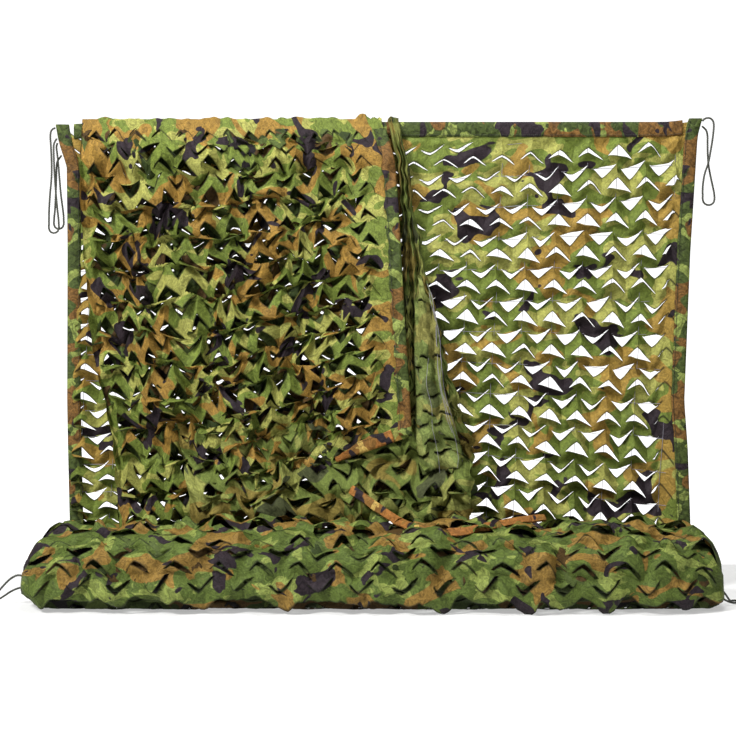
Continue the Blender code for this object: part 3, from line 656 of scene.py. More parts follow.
@dataclass
class SlitCloth:
    """A stretch of cloth cut by a slit pattern, with the tongues between the slits curled out of it."""

    name: str
    pattern: SlitPattern
    extent: Extent
    origin: tuple[float, float]
    place: Callable[[Array, Array, Array], Array]
    is_cut: Callable[[Array, Array], Array]
    hold: Callable[[Array, Array], tuple[Array, Array]] = lambda x, drop: (x, drop)
    openness: Callable[[Array, Array], Array] = lambda x, drop: np.full_like(x, 0.5)
    calm: Callable[[Array, Array], Array] = lambda x, drop: np.ones_like(x)
    curl: Span = Span(50.0, 100.0)
    curl_spread: float = 12.0
    bend: Span = Span(0.005, 0.012)
    sag: float = 0.003
    pleat: float = 0.0
    strap: float = 0.0
    strap_spread: float = 0.0
    twist: float = 0.0
    to_front: float = 0.2
    bow: float = 0.006
    facet: float = 0.004
    crumple: float = 0.004
    crumple_size: float = 0.045
    wander: float = 0.003
    lean: float = 0.003
    lean_spread: float = 0.003
    map_scale: tuple[float, float] = (1.0, 1.0)
    map_shift: tuple[float, float] = (0.0, 0.0)
    seed: int = 1

    def build(self, finish: Material) -> Piece:
        """Cut the sheet, curl its tongues and lay it on its surface.

        Args:
            finish: The cloth's material.

        Returns:
            The new piece.
        """
        cut, ext = self.pattern, self.extent
        columns = (ext.last_pitch - ext.first_pitch) * cut.columns
        rows = (ext.last_line - ext.first_line) * cut.rows
        mesh = bmesh.new()
        bmesh.ops.create_grid(mesh, x_segments=columns, y_segments=rows, size=0.5)
        ribbon_of = mesh.faces.layers.int.new("ribbon")
        for face in mesh.faces:
            middle = sum(vertex.co.y for vertex in face.verts) / 4 + 0.5
            face[ribbon_of] = ext.first_line + int(middle * rows) // cut.rows
        for edge in mesh.edges:
            start, end = (vertex.co for vertex in edge.verts)
            column = round((start.x + 0.5) * columns)
            on_crease = abs(start.x - end.x) <= 1e-7 and column % (cut.columns // 2) == 0
            edge.smooth = self.strap_spread == 0.0 or not on_crease
        allowed = self._slits()
        mesh.edges.ensure_lookup_table()
        slits = [edge for edge in mesh.edges if self._parted(edge, columns, rows, allowed)]
        bmesh.ops.split_edges(mesh, edges=slits)

        shares = np.array([vertex.co[:2] for vertex in mesh.verts]) + 0.5
        phase = ext.first_pitch + shares[:, 0] * columns / cut.columns
        line = ext.first_line + shares[:, 1] * rows / cut.rows
        owners = np.array([(min(face[ribbon_of] for face in vertex.link_faces),
                            max(face[ribbon_of] for face in vertex.link_faces)) for vertex in mesh.verts])
        x, drop, spots = self._settle(phase, np.round(line * cut.rows) / cut.rows, owners, allowed)
        cloth = mesh.loops.layers.uv.new(CLOTH_MAP)
        flat = np.stack([x * self.map_scale[0] + self.map_shift[0],
                         drop * self.map_scale[1] + self.map_shift[1]], 1)
        mesh.verts.index_update()
        for face in mesh.faces:
            for loop in face.loops:
                loop[cloth].uv = flat[loop.vert.index]
        # Mark the vertices on the slits: the print paints shade along them.
        rim = mesh.verts.layers.float.new(RIM_LAYER)
        on_slit = (owners[:, 0] == owners[:, 1]) & (np.abs(line - np.round(line)) < 0.01)
        for vertex, spot, is_rim in zip(mesh.verts, spots, on_slit):
            vertex.co = spot
            vertex[rim] = float(is_rim)
        bmesh.ops.dissolve_degenerate(mesh, dist=2e-5, edges=mesh.edges[:])
        lost = [face for face in mesh.faces if face.calc_area() < 1e-9]
        bmesh.ops.delete(mesh, geom=lost, context="FACES")
        return make_object(self.name, mesh, finish)

    def _slits(self) -> Array:
        """List which slits are cut: one row for each line, one column for each pitch.

        Returns:
            Whether each slit is cut.
        """
        cut, ext = self.pattern, self.extent
        lines = np.arange(ext.first_line, ext.last_line + 1)
        pitches = np.arange(ext.first_pitch - 1, ext.last_pitch + 2)
        line, pitch = np.meshgrid(lines, pitches, indexing="ij")
        x = self.origin[0] + (pitch + 0.5 * (line % 2)) * cut.pitch_x
        drop = self.origin[1] + line * cut.pitch_z / 2
        return self.is_cut(x, drop)

    def _parted(self, edge: bmesh.types.BMEdge, columns: int, rows: int, allowed: Array) -> bool:
        """Say whether an edge of the grid lies on a slit.

        Args:
            edge: The edge.
            columns: Faces across the grid.
            rows: Faces down it.
            allowed: Which slits are cut.

        Returns:
            Whether the cloth parts there.
        """
        cut, ext = self.pattern, self.extent
        start, end = (vertex.co for vertex in edge.verts)
        if abs(start.y - end.y) > 1e-7:
            return False
        row = round((start.y + 0.5) * rows)
        if row % cut.rows or row in (0, rows):
            return False
        line = ext.first_line + row // cut.rows
        phase = ext.first_pitch + ((start.x + end.x) / 2 + 0.5) * columns / cut.columns - 0.5 * (line % 2)
        off = float(cut.off_peak(np.array(phase)))
        pitch = round(phase - off)
        inside = -cut.short_reach < off < cut.long_reach
        return inside and bool(allowed[line - ext.first_line, pitch - ext.first_pitch + 1])

    def _settle(self, phase: Array, line: Array, owners: Array, allowed: Array) -> tuple[Array, Array, Array]:
        """Work out where each corner of the sheet lies.

        Args:
            phase: Each corner's place across, in pitches.
            line: Its place down, in lines.
            owners: The first and last ribbon that it belongs to.
            allowed: Which slits are cut.

        Returns:
            Its place across and down in the flat net, and its position.
        """
        cut = self.pattern
        ribbon = np.where(owners[:, 0] == owners[:, 1], owners[:, 0], np.floor(line)).astype(int)
        single = owners[:, 0] == owners[:, 1]
        share = line - ribbon
        x = self.origin[0] + phase * cut.pitch_x
        opened = self.openness(x, self.origin[1] + line * cut.pitch_z / 2)
        depth = mix(cut.line(ribbon, phase, opened), cut.line(ribbon + 1, phase, opened), share)
        drop = self.origin[1] + depth
        flat_x, flat_drop = x.copy(), drop.copy()
        calm = self.calm(x, drop)
        forward = self.bow * np.sin(math.pi * share) * np.where(ribbon % 2 == 0, 0.5, 1.0)
        moved = np.zeros_like(x)
        aside = np.zeros_like(x)
        tongue = single & (ribbon % 2 == 0)
        for below in (0, 1):
            lift, turn_out, shift = self._curl(phase, depth, ribbon + below, below, allowed, opened)
            moved += np.where(tongue, lift * (1 - 2 * below), 0.0)
            forward += np.where(tongue, turn_out, 0.0)
            aside += np.where(tongue, shift, 0.0)
        seed = self.seed * 7.3
        drop = drop + calm * (moved + self.wander * ripple(x, drop, 0.06, seed + 1.0))
        x = x + calm * (aside + self.wander * ripple(x, drop, 0.06, seed + 2.0))
        forward = forward + self.crumple * ripple(flat_x, flat_drop, self.crumple_size, seed + 3.0)
        half = np.floor(phase * 2.0 + 1e-6).astype(int)
        forward = forward + mix(self._fold(ribbon, half), self._fold(ribbon, half + 1), phase * 2.0 - half)
        uneven = 1.0 + 0.6 * ripple(flat_x, flat_drop, 0.05, seed + 4.0)
        forward = forward + self.pleat * np.cos(math.pi * line) * uneven * (0.3 + 0.7 * opened)
        for lean in (0.5, -0.5):
            across = phase + lean * line + 0.07 * ripple(flat_x, flat_drop, 0.09, seed + 5.0 + lean)
            uneven = 0.7 + 1.1 * ripple(flat_x, flat_drop, 0.06, seed + 8.0 + lean)
            forward = forward + self.facet * uneven * (4.0 * np.abs(across % 1.0 - 0.5) - 1.0)
        x, drop = self.hold(x, drop)
        return flat_x, flat_drop, self.place(x, drop, forward * calm)

    def _fold(self, ribbon: Array, half: Array) -> Array:
        """Height of the creases where a ribbon turns at its peaks and its valleys.

        Args:
            ribbon: The ribbon's number, counted downwards.
            half: The crease's number, counted in half pitches.

        Returns:
            How far in front of the sheet the crease lies; ribbons that are joined there share it.
        """
        ext = self.extent
        at_peak = half % 2 == 0
        pair = np.where(at_peak, ribbon // 2, (ribbon + 1) // 2) - ext.first_line // 2
        size = ((ext.last_line - ext.first_line) // 2 + 3, 2 * (ext.last_pitch - ext.first_pitch) + 4)
        chance = np.random.RandomState(self.seed * 10 + 5).uniform(-1.0, 1.0, size)
        row = np.clip(pair, 0, chance.shape[0] - 1)
        column = np.clip(half - 2 * ext.first_pitch, 0, chance.shape[1] - 1)
        return np.where(at_peak, self.strap, -self.strap) + self.strap_spread * chance[row, column]

    def _curl(self, phase: Array, depth: Array, line: Array, below: int, allowed: Array,
              opened: Array) -> tuple[Array, Array, Array]:
        """Bend the tongues of one line of slits about the chords of their slits.

        Args:
            phase: Each corner's place across, in pitches.
            depth: Its place down the flat net.
            line: The cut line that its tongue reaches.
            below: 0 where the tongues point up, 1 where they point down.
            allowed: Which slits are cut.
            opened: How far the net is pulled open there.

        Returns:
            How far it moves back towards the chord, out of the sheet, and aside.
        """
        cut, ext = self.pattern, self.extent
        off = cut.off_peak(phase - 0.5 * below)
        pitch = np.round(phase - 0.5 * below - off).astype(int) - ext.first_pitch + 1
        row = np.clip(line - ext.first_line, 0, allowed.shape[0] - 1)
        column = np.clip(pitch, 0, allowed.shape[1] - 1)
        from_tip = (depth - cut.tip(line, opened)) * (1 - 2 * below)
        height = np.clip(cut.chord(off, opened) - from_tip, 0.0, None)
        free = allowed[row, column] & (off > -cut.short_reach) & (off < cut.long_reach)
        height = np.where(free, height, 0.0)
        chance = np.random.RandomState(self.seed * 10 + below)
        spread = chance.uniform(-1.0, 1.0, allowed.shape)[row, column]
        front = np.where(chance.uniform(0.0, 1.0, allowed.shape) < self.to_front, 1.0, -1.0)[row, column]
        tilt = chance.uniform(-1.0, 1.0, allowed.shape)[row, column]
        loose = np.clip(opened + 0.15 * spread, 0.0, 1.0)
        angle = np.radians(np.maximum(self.curl.at(loose) + self.curl_spread * tilt, 4.0))
        bent = self.bend.at(loose)
        rate = angle / bent
        inner = np.minimum(height, bent)
        rest = height - inner
        kept = np.sin(rate * inner) / rate + rest * np.cos(angle) - self.sag * smooth(height / 0.006)
        out = (1.0 - np.cos(rate * inner)) / rate + rest * np.sin(angle)
        turned = chance.uniform(-1.0, 1.0, allowed.shape)[row, column]
        out = out + self.twist * turned * off * cut.pitch_x * smooth(height / 0.012)
        return height - kept, front * out, -(self.lean + self.lean_spread * tilt) * height / 0.025


# ---------------------------------------------------------------- the hung net
class Side(NamedTuple):
    """The net's outer side edges at one height below its top edge."""

    drop: float
    left: float
    right: float


SIDES = [
    Side(drop=0.00, left=-0.753, right=0.753),
    Side(drop=0.04, left=-0.746, right=0.742),
    Side(drop=0.10, left=-0.727, right=0.738),
    Side(drop=0.30, left=-0.725, right=0.725),
    Side(drop=0.65, left=-0.726, right=0.711),
    Side(drop=0.76, left=-0.724, right=0.719),
    Side(drop=0.93, left=-0.720, right=0.725),
    Side(drop=1.14, left=-0.718, right=0.722),
]


def top_line(x: Array) -> Array:
    """Height of the top edge: its left corner sags a little and its right one is drawn up."""
    return 0.008 * smooth((x - 0.66) / 0.09) - 0.006 * smooth((-0.60 - x) / 0.15)


def hang(x: Array, drop: Array, forward: Array) -> Array:
    """Place points of the hung stretch.

    Args:
        x: Places across.
        drop: Lengths of cloth below its top edge.
        forward: Distances out of the sheet.

    Returns:
        A row of x, y, z for each point.
    """
    angle = np.clip((drop - STRAIGHT_DROP) / FOOT_BEND, 0.0, math.pi / 2)
    run = np.clip(drop - STRAIGHT_DROP - FOOT_BEND * math.pi / 2, 0.0, None)
    top = top_line(x) * (1.0 - smooth(drop / 0.25))
    y = -FOOT_BEND * (1.0 - np.cos(angle)) - run - np.cos(angle) * forward
    z = top - np.minimum(drop, STRAIGHT_DROP) - FOOT_BEND * np.sin(angle) + np.sin(angle) * forward
    return np.stack([x, y, z], 1)


@dataclass
class HungNet:
    """The stretch that hangs straight: its cloth in two halves, and the string mesh behind it."""

    pattern: SlitPattern = SlitPattern()
    middle_x: float = 0.387
    peak_x: float = middle_x + 0.03375
    peak_drop: float = 0.2185
    row_spread: float = 0.241
    row_rise: float = 0.045
    row_start: float = 0.206
    row_drop: float = 0.209
    row_lean: float = 0.048
    lean_start: float = 0.004
    string: float = 0.0014
    down_behind: float = 0.0045
    across_behind: float = 0.0052

    def _spread(self, x: Array, drop: Array) -> Array:
        """Draw the rows apart towards the right, as the net is pulled there.

        Args:
            x: Places across.
            drop: Lengths down the cloth.

        Returns:
            The places down at which its rows lie.
        """
        across = np.maximum(x, -0.2) - self.middle_x
        wider = 1.0 + self.row_spread * across
        return self.row_start - self.row_rise * across + (drop - self.row_drop) * wider

    def _edges(self, drop: Array) -> tuple[Array, Array]:
        """The outer side edges at each height."""
        return column_of(SIDES, drop, 1), column_of(SIDES, drop, 2)

    def _calm(self, x: Array, drop: Array) -> Array:
        """Flat inside the bindings and where the cloth turns, free elsewhere.

        Args:
            x: Places across.
            drop: Lengths down the cloth.

        Returns:
            A share from 0, held, to 1, free.
        """
        left, right = self._edges(drop)
        inner = np.minimum(np.minimum(x - left, right - x), self._spread(x, drop)) - BAND_WIDTH
        return smooth(inner / 0.012)

    def _openness(self, x: Array, drop: Array) -> Array:
        """How far the slits stand open: narrow at the upper middle, wide to the right and low down.

        Args:
            x: Places across.
            drop: Lengths down the cloth.

        Returns:
            A share from 0, shut, to 1, wide open.
        """
        wide = smooth((x - 0.12) / 0.40 + (drop - 0.18) / 0.42)
        at_left = smooth((-0.56 - x) / 0.06) * smooth((drop - 0.2) / 0.1)
        return np.where(x < -0.05, 0.2 + 0.7 * at_left, 0.08 + 1.0 * wide)

    def _is_cut(self, x: Array, drop: Array) -> Array:
        """Slits stand clear of the bindings.

        Args:
            x: Places across.
            drop: Lengths down the cloth.

        Returns:
            Whether a slit there is cut.
        """
        left, right = self._edges(drop)
        spread = self._spread(x, drop)
        between = (x > left + BAND_WIDTH - 0.014) & (x < right - BAND_WIDTH + 0.016)
        return between & (spread > 0.044) & (spread < 1.0)

    def _hold(self, x: Array, drop: Array) -> tuple[Array, Array]:
        """Keep the cloth's edges just inside the bindings' folds.

        Args:
            x: Places across.
            drop: Lengths down the cloth.

        Returns:
            The places across and down at which it is laid.
        """
        lean = x - (self.row_lean * drop - self.lean_start)
        low = np.clip(self._spread(lean, drop), EDGE_INSIDE, HUNG_LENGTH)
        left, right = self._edges(low)
        return np.clip(lean, left + EDGE_INSIDE, right - EDGE_INSIDE), low

    def _place(self, x: Array, drop: Array, forward: Array) -> Array:
        """Lay the cloth on the hung surface with its long soft waves.

        Args:
            x: Places across.
            drop: Lengths down the cloth.
            forward: Distances out of the sheet.

        Returns:
            A row of x, y, z for each point.
        """
        left, right = self._edges(drop)
        inner = np.minimum(np.minimum(x - left, right - x), drop) - BAND_WIDTH
        calm = smooth(inner / 0.03) * (1.0 - smooth((drop - 0.90) / 0.08))
        wave = 0.005 * np.sin(13.6 * x + 2.1 * drop) + 0.003 * np.sin(33.0 * x - 7.8 * drop + 1.3)
        return hang(x, drop, forward * (1.0 - 0.7 * smooth((drop - 0.95) / 0.05)) + calm * wave)

    def build(self, finish: Material, string: Material) -> list[Piece]:
        """Make both halves of the cloth and the strings.

        Args:
            finish: The printed cloth.
            string: The backing string.

        Returns:
            The two halves and the strings.
        """
        halves = []
        for name, extent in (("net_panel_right", Extent(-7, 5, -7, 27)),
                             ("net_panel_left", Extent(-18, -7, -7, 27))):
            cloth = SlitCloth(
                name=name, pattern=self.pattern, extent=extent, origin=(self.peak_x, self.peak_drop),
                place=self._place, is_cut=self._is_cut, hold=self._hold, openness=self._openness,
                calm=self._calm, curl=Span(30.0, 72.0), curl_spread=30.0, bend=Span(0.005, 0.009),
                pleat=0.010, strap=0.003, strap_spread=0.0045, twist=0.15, bow=0.005, facet=0.002,
                to_front=0.97, wander=0.006, lean_spread=0.006, seed=3)
            halves.append(cloth.build(finish))
        return halves + [self._strings(string)]

    def _strings(self, finish: Material) -> Piece:
        """Make the string mesh that backs the cloth.

        Args:
            finish: The piece's material.

        Returns:
            The new piece.
        """
        mesh = bmesh.new()
        chance = np.random.RandomState(5)
        drops = np.linspace(0.012, 1.0, 48)
        for column in range(-16, 5):
            x = self.peak_x + column * self.pattern.pitch_x + chance.uniform(-0.004, 0.004)
            sway = 0.004 * ripple(np.full_like(drops, x), drops, 0.11, 40.0)
            left, right = self._edges(drops)
            across = np.clip(x + sway - self.row_lean * drops + self.lean_start, left + 0.03, right - 0.03)
            add_string(mesh, hang(across, drops, np.full_like(drops, -self.down_behind)), self.string)
        for row in range(-2, 11):
            x = np.linspace(-0.70, 0.70, 64)
            drop = 0.196 + row * self.pattern.pitch_z + 0.006 * ripple(x, np.full_like(x, row), 0.09, 44.0)
            left, right = self._edges(drop)
            low = np.clip(self._spread(x, drop), 0.02, 1.0)
            across = np.clip(x, left + 0.025, right - 0.025)
            add_string(mesh, hang(across, low, np.full_like(x, -self.across_behind)), self.string)
        return make_object("backing_strings", mesh, finish)


def add_string(mesh: Mesh, spots: Array, width: float) -> None:
    """Add one thin three-sided string to a mesh.

    Args:
        mesh: The mesh that it joins.
        spots: The points that it follows.
        width: Its width, in metres.
    """
    made = bmesh.ops.create_grid(mesh, x_segments=3, y_segments=len(spots) - 1, size=0.5)
    along = unit(np.gradient(spots, axis=0))
    side = unit(np.cross(along, np.array([0.0, 1.0, 0.0])))
    back = np.cross(side, along)
    for vertex in made["verts"]:
        turn = 2 * math.pi * round((vertex.co.x + 0.5) * 3) / 3
        at = round((vertex.co.y + 0.5) * (len(spots) - 1))
        vertex.co = Vector(spots[at] + (side[at] * math.cos(turn) + back[at] * math.sin(turn)) * width / 2)
    bmesh.ops.remove_doubles(mesh, verts=made["verts"], dist=1e-7)


# ---------------------------------------------------------------- the thrown-over stretch
class FlapCorner(NamedTuple):
    """A place on the thrown-over stretch's outline: a key and the value there."""

    key: float
    value: float


FLAP_FOOT = [FlapCorner(-0.70, 0.950), FlapCorner(-0.40, 0.925), FlapCorner(-0.27, 0.880),
             FlapCorner(-0.10, 0.790), FlapCorner(0.075, 0.727)]
FLAP_LEFT = [FlapCorner(0.0, -0.690), FlapCorner(0.30, -0.680), FlapCorner(0.55, -0.655),
             FlapCorner(0.75, -0.610), FlapCorner(0.95, -0.590)]
FLAP_RIGHT = [FlapCorner(0.0, 0.012), FlapCorner(0.10, 0.037), FlapCorner(0.20, 0.044),
              FlapCorner(0.42, 0.056), FlapCorner(0.727, 0.075)]
HEM_LENGTH = 0.172
FLAP_LENGTH = 0.95
FLAP_EVEN = 0.05
FLAP_OUT = 0.046


def flap_surface(x: Array, drop: Array) -> Array:
    """Place points of the thrown-over stretch where it falls in front, without its ruffles.

    Args:
        x: Places across.
        drop: Depths below the top edge.

    Returns:
        A row of x, y, z for each point.
    """
    right = column_of(FLAP_RIGHT, drop, 1)
    out = mix(FLAP_TURN, FLAP_OUT, smooth(drop / 0.09))
    free_side = smooth((x - right + 0.26) / 0.22) * smooth((drop - 0.08) / 0.25)
    over_roll = smooth((drop - 0.74) / 0.20) * (1.0 - smooth((x + 0.26) / 0.15))
    return np.stack([x, -out - 0.030 * free_side - 0.026 * over_roll, -drop], 1)


@dataclass
class ThrownNet:
    """The stretch that is gathered to half its width and thrown over the top edge."""

    pattern: SlitPattern = SlitPattern(pitch_x=0.050, pitch_z=0.074, step=Span(0.004, -0.004),
                                       short_rise=Span(0.024, 0.030), long_rise=Span(0.032, 0.042))
    width: float = 0.70
    tail: float = 0.10
    tail_out: float = 0.014
    ruffle: float = 0.014
    bump: float = 0.008
    tangle: float = 0.024
    turn_in: float = 0.0
    depth_back: float = 0.0

    def _top(self) -> float:
        """Length of cloth behind the top edge."""
        return math.pi * FLAP_TURN + self.tail

    def _place(self, x: Array, drop: Array, forward: Array) -> Array:
        """Lay the cloth over the top edge and down in front.

        Args:
            x: Places across.
            drop: Lengths down the cloth.
            forward: Distances out of the sheet.

        Returns:
            A row of x, y, z for each point.
        """
        share = np.clip(x / self.width, 0.0, 1.0)
        behind = self._behind(share, drop, forward)
        front = self._front(share, np.maximum(drop, 0.0), forward)
        return np.where((drop < 0.0)[:, None], behind, front)

    def _behind(self, share: Array, drop: Array, forward: Array) -> Array:
        """Lay the turn over the top edge and the tail that hangs behind.

        Args:
            share: Places across, as shares of the width.
            drop: Lengths down the cloth.
            forward: Distances out of the sheet.

        Returns:
            A row of x, y, z for each point.
        """
        x = mix(FLAP_LEFT[0].value, FLAP_RIGHT[0].value - EDGE_INSIDE, share)
        angle = np.clip(-drop / FLAP_TURN, 0.0, math.pi)
        down = np.clip(-drop - math.pi * FLAP_TURN, 0.0, None)
        out = smooth(down / 0.05)
        turn = FLAP_TURN - self.turn_in
        y = -turn * np.cos(angle) + self.tail_out * out + np.clip(forward, -0.004, 0.008) * out
        knotted = 1.0 + 0.9 * smooth((x + 0.10) / 0.08)
        bumps = self.bump * knotted * (0.1 + ripple(x, drop, 0.022, 61.0)) * np.sin(angle)
        bumps += 0.9 * self.bump * smooth((x + 0.06) / 0.04) * ripple(x, drop, 0.009, 62.0) * np.sin(angle)
        return np.stack([x, y, turn * np.sin(angle) - down + np.maximum(bumps, -0.001)], 1)

    def _front(self, share: Array, row: Array, forward: Array) -> Array:
        """Lay the fall in front, with its ruffles.

        Args:
            share: Places across, as shares of the width.
            row: Lengths of cloth below the top edge.
            forward: Distances out of the sheet.

        Returns:
            A row of x, y, z for each point.
        """
        drop = row.copy()
        for _ in range(6):
            right = column_of(FLAP_RIGHT, drop, 1)
            x = mix(column_of(FLAP_LEFT, drop, 1), right - EDGE_INSIDE, share)
            foot = column_of(FLAP_FOOT, x, 1)
            part = (row - FLAP_EVEN) / (FLAP_LENGTH - FLAP_EVEN)
            drop = np.where(row > FLAP_EVEN, mix(FLAP_EVEN, foot, part), row)
        near_corner = x > right - HEM_LENGTH - 0.04
        from_edge = np.where(near_corner, np.minimum(right - x, foot - drop), right - x)
        free = smooth((from_edge - BAND_WIDTH - 0.004) / 0.03) * smooth(drop / 0.05)
        fold = ripple(x, drop * 0.9, 0.042, 7.5) + 0.5 * np.sin(27.0 * x + 5.0 * drop)
        beside = smooth((x - right + 0.16) / 0.07)
        ruffle = np.clip(fold, -1.0, 1.0) * self.ruffle * (1.0 - 0.6 * beside) + forward
        spots = flap_surface(x, drop)
        spots[:, 1] += self.turn_in + self.depth_back * smooth((drop - 0.03) / 0.1) - ruffle * free
        spots[:, 1] = np.where(drop > 0.06, np.minimum(spots[:, 1], -0.016), spots[:, 1])
        return spots

    def build(self, name: str, finish: Material, seed: int) -> Piece:
        """Make one thickness of the gathered cloth.

        Args:
            name: The piece's name.
            finish: The printed cloth.
            seed: Which of its endless arrangements of folds.

        Returns:
            The new piece.
        """
        pitches = math.ceil(self.width / self.pattern.pitch_x) + 1
        lines_up = math.ceil(self._top() / self.pattern.pitch_z) * 2
        lines_down = math.ceil(FLAP_LENGTH / self.pattern.pitch_z) * 2

        def hold(x: Array, drop: Array) -> tuple[Array, Array]:
            """Draw the cloth aside in its gathers and keep it inside its own outline.

            Args:
                x: Places across.
                drop: Lengths down the cloth.

            Returns:
                The places across and down at which it is laid.
            """
            free = smooth(np.minimum(x, self.width - BAND_WIDTH - x) / 0.09) * smooth(drop / 0.12)
            free = free * smooth((FLAP_LENGTH - drop) / 0.12) * self.tangle
            aside = free * ripple(x, drop, 0.10, 90.0 + seed)
            along = free * ripple(x, drop, 0.085, 95.0 + seed)
            return np.clip(x + aside, 0.0, self.width), np.clip(drop + along, -self._top(), FLAP_LENGTH)

        def is_cut(x: Array, drop: Array) -> Array:
            """Slits stand clear of the edges and of the turn."""
            between = (x > 0.02) & (x < self.width - BAND_WIDTH - 0.02)
            return between & ((drop > 0.012) | (drop < -0.05)) & (drop < 0.93)

        def opened(x: Array, drop: Array) -> Array:
            """Slits near the top are almost shut."""
            return 0.35 + 0.80 * smooth((drop - 0.05) / 0.14)

        def calm(x: Array, drop: Array) -> Array:
            """The cloth is stretched flatter beside its bound edge and near the top."""
            beside = mix(1.0, 0.60, smooth((x - self.width + 0.15) / 0.07))
            return beside * mix(0.75, 1.0, smooth((np.abs(drop) - 0.03) / 0.10))

        cloth = SlitCloth(name=name, pattern=self.pattern, extent=Extent(-1, pitches, -lines_up, lines_down),
                          origin=(0.01 + 0.003 * seed, 0.02), place=self._place, is_cut=is_cut, hold=hold,
                          openness=opened, calm=calm, curl=Span(25.0, 75.0), curl_spread=45.0,
                          bend=Span(0.003, 0.004), to_front=0.75, pleat=0.004, strap=0.004,
                          strap_spread=0.013, twist=0.5, bow=0.002, facet=0.005, crumple=0.008,
                          crumple_size=0.06, wander=0.014, lean=0.004, lean_spread=0.014,
                          map_scale=(1.5, 1.1), map_shift=(6.3 + seed, 0.9), seed=seed)
        return cloth.build(finish)


# ---------------------------------------------------------------- the gathered fall
class FallRow(NamedTuple):
    """The gathered fall at one height: its two sides, how deep its folds are and how far forward it is."""

    drop: float
    left: float
    right: float
    depth: float
    forward: float


FALL_ROWS = [
    FallRow(drop=0.00, left=0.020, right=0.046, depth=0.002, forward=0.000),
    FallRow(drop=0.10, left=0.043, right=0.068, depth=0.005, forward=0.000),
    FallRow(drop=0.20, left=0.051, right=0.080, depth=0.010, forward=0.000),
    FallRow(drop=0.30, left=0.055, right=0.100, depth=0.018, forward=0.000),
    FallRow(drop=0.45, left=0.050, right=0.136, depth=0.024, forward=0.000),
    FallRow(drop=0.62, left=0.040, right=0.182, depth=0.026, forward=0.000),
    FallRow(drop=0.76, left=-0.040, right=0.222, depth=0.026, forward=0.002),
    FallRow(drop=0.86, left=-0.200, right=0.230, depth=0.030, forward=0.018),
    FallRow(drop=0.925, left=-0.300, right=0.215, depth=0.034, forward=0.040),
]


@dataclass
class GatheredFall:
    """The gathered side of the thrown-over stretch, with the cloth's dull back outside."""

    pattern: SlitPattern = SlitPattern(pitch_x=0.060, pitch_z=0.070)
    width: float = 0.60
    folds: int = 3
    back: float = 0.026
    is_cut_through: bool = True

    def _place(self, x: Array, drop: Array, forward: Array) -> Array:
        """Lay the cloth in its back-and-forth folds.

        Args:
            x: Places across.
            drop: Lengths down the cloth.
            forward: Distances out of the sheet.

        Returns:
            A row of x, y, z for each point.
        """
        share = np.clip(x / self.width, 0.0, 1.0)
        low = np.maximum(drop, 0.0)
        left, right, depth, lead = (column_of(FALL_ROWS, low, column) for column in (1, 2, 3, 4))
        right = right + 0.016 * smooth((low - 0.30) / 0.10) * (ripple(low, 0.3 * low, 0.028, 88.0) - 0.4)
        fold = 0.5 - 0.5 * np.cos(2 * math.pi * (self.folds * share + 0.10 * np.sin(9.0 * low)))
        uneven = 1.0 + 0.25 * ripple(share * 4.0, low * 9.0, 1.0, 2.0)
        across = mix(left, right, share)
        across = across + mix(0.004, 0.009, smooth((low - 0.4) / 0.2)) * ripple(share * 0.1, low, 0.04, 86.0)
        knotted = smooth(low / 0.05) * (1.0 - smooth((low - 0.34) / 0.10))
        across = across + 0.006 * knotted * ripple(share * 0.05, low, 0.026, 89.0)
        depth = np.maximum(depth, 0.016 * smooth(low / 0.06))
        angle = np.clip(-drop / FLAP_TURN, 0.0, math.pi)
        near = mix(FLAP_TURN, self.back, smooth(drop / 0.07))
        room = smooth((right - left - 0.02) / 0.10)
        low_share = smooth((low - 0.70) / 0.12)
        loose = room * mix(0.6, 2.2, low_share)
        leaves = np.clip(forward * loose, -0.006, mix(0.008, 0.032, low_share))
        y = -near - lead - depth * fold * uneven - leaves
        knots = 0.5 + ripple(share * 0.06, low, 0.020, 90.0)
        y = y * mix(1.0, 0.45, smooth((low - 0.70) / 0.08)) - 0.010 * knotted * knots
        y = np.where(drop < 0.0, -FLAP_TURN * np.cos(angle), y)
        crown = 0.010 * (0.3 + ripple(across, low, 0.012, 87.0)) * np.sin(angle)
        z = np.where(drop < 0.0, FLAP_TURN * np.sin(angle) + crown, -low)
        return np.stack([across, y, z], 1)

    def build(self, name: str, finish: Material, seed: int) -> Piece:
        """Make one thickness of the fall.

        Args:
            name: The piece's name.
            finish: The cloth's dull back, darkened as painted shade.
            seed: Which of its endless arrangements of folds.

        Returns:
            The new piece.
        """
        foot = FALL_ROWS[-1].drop
        top = -math.pi * FLAP_TURN
        lines = math.ceil((foot - top) / self.pattern.pitch_z) * 2 + 1

        def hold(x: Array, drop: Array) -> tuple[Array, Array]:
            """Keep the cloth inside its own outline."""
            return np.clip(x, 0.0, self.width), np.clip(drop, top, foot)

        def is_cut(x: Array, drop: Array) -> Array:
            """Slits stand clear of the edges."""
            between = (x > 0.03) & (x < self.width - 0.03)
            return between & (drop > 0.10) & (drop < foot - 0.03) & self.is_cut_through

        cloth = SlitCloth(name=name, pattern=self.pattern,
                          extent=Extent(0, math.ceil(self.width / self.pattern.pitch_x), 0, lines),
                          origin=(0.0, top - 0.03), place=self._place, is_cut=is_cut, hold=hold,
                          openness=lambda x, drop: 0.15 + 0.8 * smooth((drop - 0.55) / 0.15),
                          curl=Span(20.0, 80.0), curl_spread=35.0, bend=Span(0.003, 0.004), sag=0.004,
                          to_front=0.8, facet=0.009, crumple=0.014, crumple_size=0.034, wander=0.008,
                          lean_spread=0.012, map_scale=(0.6, 1.0), map_shift=(7.4, 2.6), seed=seed)
        return cloth.build(finish)


